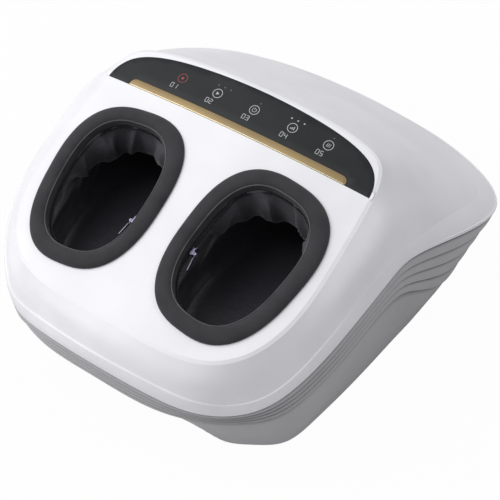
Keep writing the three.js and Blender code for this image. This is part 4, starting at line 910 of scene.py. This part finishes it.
def lights(x, offsets):
    """A row of status lights over an icon."""
    turn = np.linspace(0, 2 * math.pi, LIGHT_SIDES, endpoint=False)
    dot = LIGHT_RADIUS * np.column_stack([np.cos(turn), np.sin(turn)])
    return [flat_mark(dot + (x + LIGHT_SHIFT + offset * LIGHT_PITCH, LIGHT_V), [tuple(range(LIGHT_SIDES))])
            for offset in offsets]


def put_marks(name, parts, material):
    """Marks of one colour as one piece."""
    thicken(make(name, joined(*parts), "panel_black", material=material), MARK_THICK)


def panel_marks():
    """Ringed icons, the lights over them and a plain number under each."""
    grey = [ring_mark(x, ICON_V, *ICON_RING) for x in (AUTO_X, POWER_X, STRENGTH_X, HEATER_X)]
    play = [(AUTO_X - 1.3, ICON_V - 1.7), (AUTO_X + 1.9, ICON_V), (AUTO_X - 1.3, ICON_V + 1.7)]
    grey += [flat_mark(play, [(0, 1, 2)]), ring_mark(POWER_X, ICON_V, 2.3, 1.75, 125, 415),
             bar_mark(POWER_X, ICON_V + .4, POWER_X, ICON_V + 2.7, .6)]
    for dx, height in ((-1.6, 1.4), (0, 2.4), (1.6, 3.4)):
        grey.append(bar_mark(STRENGTH_X + dx, ICON_V - 1.7, STRENGTH_X + dx, ICON_V - 1.7 + height, .9))
    for offset in (-1.5, 0, 1.5):
        grey += wave_mark(HEATER_X + offset, ICON_V, 1.9, .35, .5)
    put_marks("panel_icons", grey, mark_grey)
    stop = bar_mark(STOP_X - 1.3, ICON_V, STOP_X + 1.3, ICON_V, 2.6)
    put_marks("panel_icon_stop", [ring_mark(STOP_X, ICON_V, *ICON_RING), stop], mark_red)
    numbers = []
    for number, x in enumerate((STOP_X, AUTO_X, POWER_X, STRENGTH_X, HEATER_X), 1):
        numbers += number_marks(f"0{number}", x + NUMBER_SHIFT, NUMBER_V)
    put_marks("panel_numbers", numbers, mark_grey)
    dim = lights(AUTO_X + 2, (-1, 0, 1)) + lights(POWER_X + 1, (0,)) + lights(HEATER_X, (0,))
    put_marks("panel_lights_dim", dim, mark_dim)
    put_marks("panel_lights", lights(STRENGTH_X, (-1, 0, 1)), mark_grey)


panel_marks()

# Collars. Points round a section: inset from the collar's outline, and height off the deck
COLLAR_SECTION = [
    (0, .3), (.25, 1.7), (1.0, 3.1), (2.4, 4.3), (4.4, 5.15), (6.8, 5.65), (9.1, 5.8), (11.2, 5.5),
    (13.0, 4.75), (14.5, 3.6), (15.6, 2.2), (16.2, .6), (16.5, -1.2), (16.5, -3.2), (16.1, -4.8),
    (15.2, -5.0), (14.2, -4.6), (13.9, -2.6), (13.2, -.6), (11.8, .3), (8.4, .3), (4.6, .3), (1.6, .3),
]
SEAM_SECTION = [(15.0, 3.45), (15.35, 3.75), (15.75, 3.45), (15.75, 2.6), (15.3, 2.2), (14.9, 2.7)]
COLLAR_COUNT = 260
SEWN_UNDER, SEWN_BEYOND = .3, 15.3      # the height and the inset where the cloth is sewn down
PUFF_REACH, PUFF_FRAMES = 1.0, 20
PUFF_SETTINGS = {
    "use_pressure": True, "uniform_pressure_force": 4.0, "vertex_group_mass": "held", "mass": .1,
    "tension_stiffness": 8, "compression_stiffness": 8, "shear_stiffness": 4,
    "bending_stiffness": .2, "quality": 6,
}


def collar_loop(section, count):
    """The hoop of a section carried round the right collar."""
    return looped([on_collar(collar_outline(inward, count), lift) for inward, lift in section])


def puffed(mesh, held):
    """Points of a padded piece blown up as cloth, its held points fixed and each one's way capped."""
    points = mesh[0]
    obj = new_object("pad", mesh)
    face_outward(obj.data)
    group = obj.vertex_groups.new(name="held")
    group.add([int(index) for index in np.flatnonzero(held)], 1.0, "REPLACE")
    sim = obj.modifiers.new("cloth", "CLOTH")
    for key, value in PUFF_SETTINGS.items():
        setattr(sim.settings, key, value)
    sim.settings.effector_weights.gravity = 0
    sim.collision_settings.use_collision = False
    sim.point_cache.frame_start, sim.point_cache.frame_end = 1, PUFF_FRAMES
    scene = bpy.context.scene
    for number in range(1, PUFF_FRAMES + 1):
        scene.frame_set(number)
    done = obj.evaluated_get(bpy.context.evaluated_depsgraph_get())
    moved = np.empty(len(points) * 3, np.float32)
    done.to_mesh().vertices.foreach_get("co", moved)
    done.to_mesh_clear()
    scene.frame_set(1)
    bpy.data.objects.remove(obj)
    step = moved.reshape(-1, 3).astype(float) / MM - points
    far = np.linalg.norm(step, axis=1)[:, None]
    return points + step * np.minimum(1, PUFF_REACH / np.maximum(far, 1e-6))


def make_collars():
    """Two padded collars, each with the seam along its inner edge."""
    points, faces = collar_loop(COLLAR_SECTION, COLLAR_COUNT)
    held = [lift <= SEWN_UNDER or inward > SEWN_BEYOND for inward, lift in COLLAR_SECTION]
    points = puffed((points, faces), np.tile(held, COLLAR_COUNT))
    seam = collar_loop(SEAM_SECTION, COLLAR_COUNT * 2)
    for side, end in SIDES:
        pad = make(f"collar_pad_{end}", mirrored((points, faces), side), "collar_fabric",
                   [f"collar_{end}"], sharp=None)
        fine = pad.modifiers.new("fine", "SUBSURF")
        fine.levels = fine.render_levels = 1
        bake(pad, None)
        make(f"collar_seam_{end}", mirrored(seam, side), "collar_fabric", material=seam_thread, sharp=None)


make_collars()

# Liners
LINER_COUNT = 240
LINER_RINGS = [4, 10, 10, 12, 12, 6]
LINER_DROOP = 34.0          # how far the cloth hangs straight down at the toes before it turns away
LINER_HEM, LINER_TOP = (14.8, -3.4), (15.4, -12.0)      # inset from the collar's outline, and lift
# Half width, half length, height at Y 0 and rise along Y of a ring of the bag
LINER_SHOULDER, LINER_LOW, LINER_SOLE = (57.2, 121.2, 97.5, .11), (52.4, 116.4, 76.5), (44.5, 108.5, 68.3)
SOLE_HEIGHT, SOLE_CROWN = 68.0, .3
SOLE_SHARES = (.85, .68, .5, .32, .16)
FOLD_LIMIT = 11.0
# Counts of folds, with the ranges of their place round the bag, width, depth and lean
FOLDS = ((12, (.1, 3.0), (.06, .16), (3.5, 8.0), (-1.6, 1.6)),
         (8, (3.4, 6.0), (.08, .16), (.8, 2.2), (-.2, .2)))


def well_ring(half_width, half_length, level, rise=0.0):
    """A ring of the right foot well."""
    spots = splayed(oval(half_width, half_length, LINER_COUNT))
    y = LINER_Y + spots[:, 1]
    return np.stack([well_axis(LINER_Y) + spots[:, 0], y, level + rise * y], 1)


def liner_wall():
    """Rings of the liner from its hem at the collar to the edge of its sole."""
    hem, top = (on_collar(collar_outline(inward, LINER_COUNT), lift)
                for inward, lift in (LINER_HEM, LINER_TOP))
    shoulder = well_ring(*LINER_SHOULDER)
    toes = np.clip(np.sin(np.arange(LINER_COUNT) / LINER_COUNT * 2 * math.pi), 0, 1) ** .6
    hung = top + (shoulder - top) * (.3 - .2 * toes[:, None])
    hung[:, 2] -= LINER_DROOP * toes
    turning = (top + shoulder) / 2
    turning[:, 2] -= LINER_DROOP * .7 * toes
    return [hem, top, hung, turning, shoulder, well_ring(*LINER_LOW), well_ring(*LINER_SOLE)]


def smooth_column(keys, counts):
    """Rings along a curve through the key rings."""
    keys = np.array(keys)
    ends = np.concatenate([2 * keys[:1] - keys[1:2], keys, 2 * keys[-1:] - keys[-2:-1]])
    out = []
    for k, count in enumerate(counts):
        p0, p1, p2, p3 = ends[k:k + 4]
        for t in np.linspace(0, 1, count, endpoint=False):
            out.append(.5 * (2 * p1 + (p2 - p0) * t + (2 * p0 - 5 * p1 + 4 * p2 - p3) * t**2
                             + (3 * p1 - p0 - 3 * p2 + p3) * t**3))
    return [*out, keys[-1]]


def gathered(rings):
    """The liner's rings drawn in by its folds, which fade at the hem, in the turn and at the sole."""
    turn = np.arange(LINER_COUNT) / LINER_COUNT * 2 * math.pi
    rng = np.random.default_rng(7)
    folds = [[rng.uniform(*limits) for limits in ranges] for count, *ranges in FOLDS for _ in range(count)]
    axis = (well_axis(LINER_Y), LINER_Y)
    out = []
    for k, ring in enumerate(rings):
        down = k / (len(rings) - 1)
        amount = np.clip((down - .02) * 8, 0, 1) * np.clip((1 - down) * 2.5, 0, 1)
        amount *= 1 - .6 * np.clip((down - .18) * 6, 0, 1)
        inward = np.zeros(LINER_COUNT)
        for at, width, depth, lean in folds:
            off = (turn - at - lean * (down - .3) + math.pi) % (2 * math.pi) - math.pi
            inward += depth * np.exp(-(off / width) ** 2)
        way = np.column_stack([axis - ring[:, :2], np.zeros(LINER_COUNT)])
        way /= np.linalg.norm(way, axis=1)[:, None]
        out.append(ring + way * (np.minimum(inward, FOLD_LIMIT) * amount)[:, None])
    return out


def make_liners():
    """Two satin bags hung in the foot wells."""
    rings = smooth_column(liner_wall(), LINER_RINGS)
    centre = np.array([well_axis(LINER_Y), LINER_Y, SOLE_HEIGHT])
    sole = [centre + (rings[-1] - centre) * (k, k, 1) for k in SOLE_SHARES]
    rings = gathered(rings) + sole
    points, faces = strips(rings)
    last = (len(rings) - 1) * LINER_COUNT
    faces += [(last + i, last + (i + 1) % LINER_COUNT, len(points)) for i in range(LINER_COUNT)]
    points = np.vstack([points, centre + (0, 0, SOLE_CROWN)])
    for side, end in SIDES:
        bag = make(f"liner_cloth_{end}", mirrored((points, faces), side), "liner_fabric",
                   [f"liner_{end}"], sharp=None)


make_liners()

# Zips. Sliders and pulls are drawn with X out of the tape, Y along the zip and Z square off the
# deck, about the middle of the tape. The pull is drawn about its pin.
ZIP_INSET, ZIP_X = 15.5, 19 - COLLAR_HALF[0]
ZIP_START, ZIP_DROP = -18.0, 8.3
TAPE_SECTION = [(-.35, 3.0), (.35, 3.0), (.4, 1.5), (.4, -1.5), (.35, -3.0), (-.35, -3.0)]
TEETH, TEETH_OUT, TOOTH_HALF, TOOTH_STAGGER = 300, 1.3, (.42, .95, .9), .5
SLIDER_BACK, SLIDER_PLATE, SLIDER_FACE = .7, 2.7, 4.0
SLIDER_HALF_LENGTH, SLIDER_HALF_HEIGHT, SLIDER_INNER = 5.0, 2.9, 1.6
SLIDER_OUTLINE = [(-4.9, -1.9), (-3.6, -2.9), (1.6, -2.8), (3.9, -2.1), (5.0, 0),
                  (3.9, 2.1), (1.6, 2.8), (-3.6, 2.9), (-4.9, 1.9)]
PIN_X, PIN_Y, PIN_RADIUS = 5.7, -2.0, .7
EAR_RADIUS, EYE_RADIUS, EYE_BORE, EYE_HALF_HEIGHT = 1.6, 1.6, .85, 1.15
PULL_START, PULL_LENGTH, PULL_HALF_HEIGHT, PULL_CORNER = 3.0, 17.0, 2.2, 1.2
PULL_CORE, PULL_RIM, PULL_RIM_WIDTH = .35, .62, .55
PULL_REST = math.radians(14)
GRIPS, GRIP_HALF = 6, .35


def zip_outline(inward, count=420):
    """The line of the zip round the right well's mouth, straight along its inner side."""
    flat = collar_outline(ZIP_INSET + inward, count)
    flat[:, 0] = np.maximum(flat[:, 0], ZIP_X + inward)
    return flat


def make_tapes():
    """The zips' tapes and their staggered teeth."""
    tape = looped([on_collar(zip_outline(inward), up - ZIP_DROP) for inward, up in TAPE_SECTION])
    spots = even(zip_outline(TEETH_OUT), TEETH)
    half_along, half_across, half_up = TOOTH_HALF
    faces = [(0, 3, 2, 1), (4, 5, 6, 7), (0, 1, 5, 4), (1, 2, 6, 5), (2, 3, 7, 6), (3, 0, 4, 7)]
    teeth = []
    for i, spot in enumerate(spots):
        along = spots[(i + 1) % TEETH] - spots[i - 1]
        along /= np.linalg.norm(along)
        a, c = along * half_along, np.array([along[1], -along[0]]) * half_across
        foot = np.array([spot - a - c, spot + a - c, spot + a + c, spot - a + c])
        middle = (TOOTH_STAGGER if i % 2 else -TOOTH_STAGGER) - ZIP_DROP
        ends = [on_collar(foot, middle + up) for up in (-half_up, half_up)]
        teeth.append((np.vstack(ends), faces))
    teeth = joined(*teeth)
    for side, end in SIDES:
        make(f"zip_band_{end}", mirrored(tape, side), "zip_tape", [f"zip_tape_{end}"], sharp=None)
        make(f"zip_teeth_{end}", mirrored(teeth, side), "zip_tape")


def slab(outline, low, high, round_off):
    """A convex plate from low to high across X, the edges of its two faces rounded off."""
    spots = np.asarray(outline, float)
    along = np.roll(spots, -1, 0) - np.roll(spots, 1, 0)
    out = np.stack([along[:, 1], -along[:, 0]], 1) / np.linalg.norm(along, axis=1)[:, None]
    out *= np.sign(((spots - spots.mean(0)) * out).sum())
    bend = round_off * .3
    rows = [(round_off, low), (bend, low + bend), (0, low + round_off),
            (0, high - round_off), (bend, high - bend), (round_off, high)]
    return capped([np.column_stack([np.full(len(spots), x), spots - out * inward]) for inward, x in rows])


def rounded(low, high, radius, steps=7):
    """A rounded rectangle between two corners."""
    quarter = np.linspace(0, math.pi / 2, steps)
    middle = np.add(low, high) / 2
    out = []
    for k, spot in enumerate([high, (low[0], high[1]), low, (high[0], low[1])]):
        centre = np.array(spot) - np.sign(np.array(spot) - middle) * radius
        out += [centre + radius * np.array((math.cos(a), math.sin(a))) for a in quarter + k * math.pi / 2]
    return np.array(out)


def disc(radius, steps=7):
    """A circle as a rounded square."""
    return rounded((-radius, -radius), (radius, radius), radius, steps)


def turned(points, angle):
    """Points turned about Z."""
    c, s = math.cos(angle), math.sin(angle)
    return np.column_stack([points[:, 0] * c - points[:, 1] * s, points[:, 0] * s + points[:, 1] * c,
                            points[:, 2]])


def tipped(points, angle):
    """Points turned about X."""
    c, s = math.cos(angle), math.sin(angle)
    return np.column_stack([points[:, 0], points[:, 1] * c - points[:, 2] * s,
                            points[:, 1] * s + points[:, 2] * c])


def on_zip(mesh):
    """A mesh of the slider's own frame, put on the right collar's zip."""
    points = tipped(turned(mesh[0], -SPLAY), TILT)
    return points + on_collar((ZIP_X, ZIP_START), -ZIP_DROP)[0], mesh[1]


def tube(outer_radius, bore, half_height, chamfer=.15, sides=32):
    """A short upright tube."""
    section = [(bore, -half_height), (outer_radius - chamfer, -half_height),
               (outer_radius, chamfer - half_height), (outer_radius, half_height - chamfer),
               (outer_radius - chamfer, half_height), (bore, half_height)]
    turn = np.linspace(0, 2 * math.pi, sides, endpoint=False)
    return hoop([np.array([(r * math.cos(a), r * math.sin(a), z) for r, z in section]) for a in turn])


def slider_parts():
    """A waisted face plate between two side walls, with two ears that hold the pull's pin."""
    parts = [slab(curve_through(SLIDER_OUTLINE, 5), SLIDER_PLATE, SLIDER_FACE, .3)]
    pin = [(PIN_X, PIN_Y)]
    for way in (1, -1):
        wall = rounded((.3 - SLIDER_HALF_LENGTH, SLIDER_INNER), (2.6, SLIDER_HALF_HEIGHT), .3)
        low, high = sorted((way * SLIDER_HALF_HEIGHT, way * (SLIDER_INNER - .1)))
        foot = rounded((PIN_Y - EAR_RADIUS, low), (PIN_Y + EAR_RADIUS, high), .2)
        parts += [slab(wall * (1, way), SLIDER_BACK, SLIDER_FACE - .3, .25),
                  *bars(EAR_RADIUS, low, high, pin, 32, .2), slab(foot, SLIDER_PLATE + .5, PIN_X, .05)]
    return joined(*parts, *bars(PIN_RADIUS, -SLIDER_HALF_HEIGHT, SLIDER_HALF_HEIGHT, pin, 24, .1))


def pull_parts():
    """An eye, a neck and a thin blade with a raised rim and grip bars."""
    outline, core, inner = (
        rounded((by - PULL_LENGTH, by - PULL_HALF_HEIGHT), (-PULL_START - by, PULL_HALF_HEIGHT - by),
                PULL_CORNER - by) for by in (0, .2, PULL_RIM_WIDTH))
    rim = []
    for a, b in zip(outline, inner):
        outer, crest = a * .85 + b * .15, a * .5 + b * .5
        rim.append(np.array([(.1 - PULL_RIM, *outer), (-PULL_RIM, *crest), (.1 - PULL_RIM, *b),
                             (PULL_RIM - .1, *b), (PULL_RIM, *crest), (PULL_RIM - .1, *outer),
                             (PULL_RIM - .2, *a), (.2 - PULL_RIM, *a)]))
    neck = rounded((-PULL_START - .6, -EYE_HALF_HEIGHT), (-EYE_BORE - .3, EYE_HALF_HEIGHT), .3)
    parts = [tube(EYE_RADIUS, EYE_BORE, EYE_HALF_HEIGHT), hoop(rim), slab(core, -PULL_CORE, PULL_CORE, .1),
             slab(neck, -.5, .5, .15)]
    for y in np.linspace(2.2 - PULL_LENGTH, -PULL_START - 4.4, GRIPS):
        grip = rounded((y - GRIP_HALF, .6 - PULL_HALF_HEIGHT), (y + GRIP_HALF, PULL_HALF_HEIGHT - .6), .3, 4)
        parts.append(slab(grip, -PULL_CORE - .2, PULL_CORE + .2, .15))
    return joined(*parts)


def make_zips():
    """The sliders and their pulls, each on its own body."""
    points, faces = pull_parts()
    pull = on_zip((turned(points, PULL_REST) + (PIN_X, PIN_Y, 0), faces))
    slider = on_zip(slider_parts())
    for side, end in SIDES:
        make(f"slider_{end}_fine", mirrored(slider, side), "zip_metal", [f"zip_slider_{end}"],
             body=f"slider_{end}")
        make(f"pull_{end}_fine", mirrored(pull, side), "zip_metal", [f"zip_pull_{end}"], pull_alloy,
             f"pull_{end}")


make_tapes()
make_zips()

# Airbags between the liners and the tubs. Half a section: share of the outline, and height
AIRBAG_HALF, AIRBAG_PLACE, AIRBAG_TILT = (30.0, 28.0), (50.0, 128.3), math.radians(22.5)
AIRBAG_SECTION = [(1, .45), (.985, .6), (.94, .6), (.925, .8), (.89, 1.3), (.82, 1.9), (.72, 2.4),
                  (.58, 2.75), (.4, 2.92), (.2, 3.0), (.06, 3.0)]
NOZZLE_RADIUS, NOZZLE_LENGTH = 1.2, 4.0


def lengthwise(mesh, place=(0, 0, 0)):
    """A plate drawn across X, turned so that it runs along Y, and moved to its place."""
    return mesh[0][:, (1, 0, 2)] + place, mesh[1]


def make_airbags():
    """Two welded air cushions, each with its nozzle."""
    section = [(out, -up) for out, up in reversed(AIRBAG_SECTION)] + AIRBAG_SECTION
    rings = []
    for out, up in section:
        flat = oval(AIRBAG_HALF[0] * out, AIRBAG_HALF[1] * out, 120)
        rings.append(np.column_stack([flat, np.full(len(flat), up)]))
    nozzle = slab(disc(NOZZLE_RADIUS), AIRBAG_HALF[1] - NOZZLE_LENGTH / 2, AIRBAG_HALF[1] + NOZZLE_LENGTH, .2)
    points, faces = joined(capped(rings), lengthwise(nozzle))
    y, height = AIRBAG_PLACE
    mesh = tipped(points, -AIRBAG_TILT) + (well_axis(y), y, height), faces
    for side, end in SIDES:
        bag = make(f"airbag_pad_{end}", mirrored(mesh, side), "airbag_vinyl", [f"airbag_{end}"])


make_airbags()

# Power inlet in the rear wall
SOCKET_DEPTH, SOCKET_RADIUS, SOCKET_SPREAD, SOCKET_PIN = 12.0, 4.2, 4.3, 1.2


def inlet_face():
    """How far back the inlet's face lies, from the slope of the rear wall."""
    low, high = RIB_END[-1], PARTING[-1]
    rise = (INLET_HEIGHT / COVER_HEIGHT - low[2]) / (high[2] - low[2])
    return HALF_DEPTH * (low[1] + (high[1] - low[1]) * rise) - INLET_SETBACK


def make_inlet():
    """The inlet's body with two round sockets, a bridge between them and their pins."""
    face = inlet_face()
    half = np.array(INLET_HALF)
    place = (INLET_X, 0, INLET_HEIGHT)
    body = slab(rounded(-half, half, 2.0), face - INLET_DEPTH, face, .5)
    inlet = make("power_socket", lengthwise(body, place), "inlet_plastic", ["power_inlet"])
    spots = [(-SOCKET_SPREAD, 0), (SOCKET_SPREAD, 0)]
    bridge = rounded((-SOCKET_SPREAD, -SOCKET_RADIUS / 2), (SOCKET_SPREAD, SOCKET_RADIUS / 2), .3)
    for hole in [*[disc(SOCKET_RADIUS, 12) + spot for spot in spots], bridge]:
        cut(inlet, lengthwise(slab(hole, face - SOCKET_DEPTH, face + 5, .05), place))
    pins = [lengthwise(slab(disc(SOCKET_PIN, 8) + spot, face - SOCKET_DEPTH - 1, face - 3, .5), place)
            for spot in spots]
    make("power_socket_pins", joined(*pins), "inlet_plastic", material=by_slot["steel"])


make_inlet()

# Floor, lamps and camera. A lamp has its power in watts, its size, place and colour
FLOOR_REACH = 6000.0
FLOOR_COLOUR, FLOOR_GLOW = (.8, .8, .8, 1), .965
WORLD_COLOUR, WORLD_STRENGTH = (.95, .95, 1, 1), .4
LAMP_TARGET = (0, 0, .1)
LAMPS = {
    "side_light": (39, 2.0, (-1.28, -.74, 1.80), (1, 1, 1)),
    "rear_light": (4, .8, (.24, 1.39, 1.79), (1, 1, 1)),
    "glint": (2.5, .3, (1.32, .66, 1.73), (1, .97, .88)),
}
CAMERA_TARGET, CAMERA_DISTANCE = (.08275, -.08087, .152), .96104
CAMERA_AZIMUTH, CAMERA_ELEVATION = math.radians(34.51), math.radians(48.54)
CAMERA_SENSOR, CAMERA_LENS, CAMERA_CLIP = 36, 81.01, (.05, 20)


def add(name, data, place, away):
    """A lamp or camera that looks against the way it is given."""
    obj = bpy.data.objects.new(name, data)
    bpy.context.scene.collection.objects.link(obj)
    obj.location = place
    obj.rotation_euler = (-away).to_track_quat("-Z", "Y").to_euler()
    return obj


def make_floor():
    """A pale floor that looks white to the camera and keeps the object's shadow."""
    r = FLOOR_REACH
    floor = new_object("floor", ([(-r, -r, 0), (r, -r, 0), (r, r, 0), (-r, r, 0)], [(0, 1, 2, 3)]))
    material = bpy.data.materials.new("floor_pale")
    material.use_nodes = True
    tree = material.node_tree
    tree.nodes.clear()
    out, mix, pale, glow, path, share = (tree.nodes.new(f"ShaderNode{kind}") for kind in (
        "OutputMaterial", "MixShader", "BsdfDiffuse", "Emission", "LightPath", "Math"))
    pale.inputs["Color"].default_value = FLOOR_COLOUR
    glow.inputs["Color"].default_value = (1, 1, 1, 1)
    share.operation = "MULTIPLY"
    share.inputs[1].default_value = FLOOR_GLOW
    for a, b in ((path.outputs["Is Camera Ray"], share.inputs[0]), (share.outputs[0], mix.inputs["Fac"]),
                 (pale.outputs[0], mix.inputs[1]), (glow.outputs[0], mix.inputs[2]),
                 (mix.outputs[0], out.inputs["Surface"])):
        tree.links.new(a, b)
    floor.data.materials.append(material)


def light_scene():
    """The world's even light and three lamps."""
    world = bpy.data.worlds.new("world")
    bpy.context.scene.world = world
    world.use_nodes = True
    background = world.node_tree.nodes["Background"]
    background.inputs["Color"].default_value = WORLD_COLOUR
    background.inputs["Strength"].default_value = WORLD_STRENGTH
    for name, (power, size, place, colour) in LAMPS.items():
        data = bpy.data.lights.new(name, "AREA")
        data.energy, data.size, data.color = power, size, colour
        add(name, data, place, Vector(place) - Vector(LAMP_TARGET))


def place_camera():
    """The camera at the photograph's viewing angle."""
    data = bpy.data.cameras.new("camera")
    data.sensor_width, data.lens = CAMERA_SENSOR, CAMERA_LENS
    data.clip_start, data.clip_end = CAMERA_CLIP
    away = Vector((math.sin(CAMERA_AZIMUTH) * math.cos(CAMERA_ELEVATION),
                   -math.cos(CAMERA_AZIMUTH) * math.cos(CAMERA_ELEVATION), math.sin(CAMERA_ELEVATION)))
    place = Vector(CAMERA_TARGET) + away * CAMERA_DISTANCE
    bpy.context.scene.camera = add("camera", data, place, away)


make_floor()
light_scene()
place_camera()
bpy.context.scene.view_settings.view_transform = "Standard"
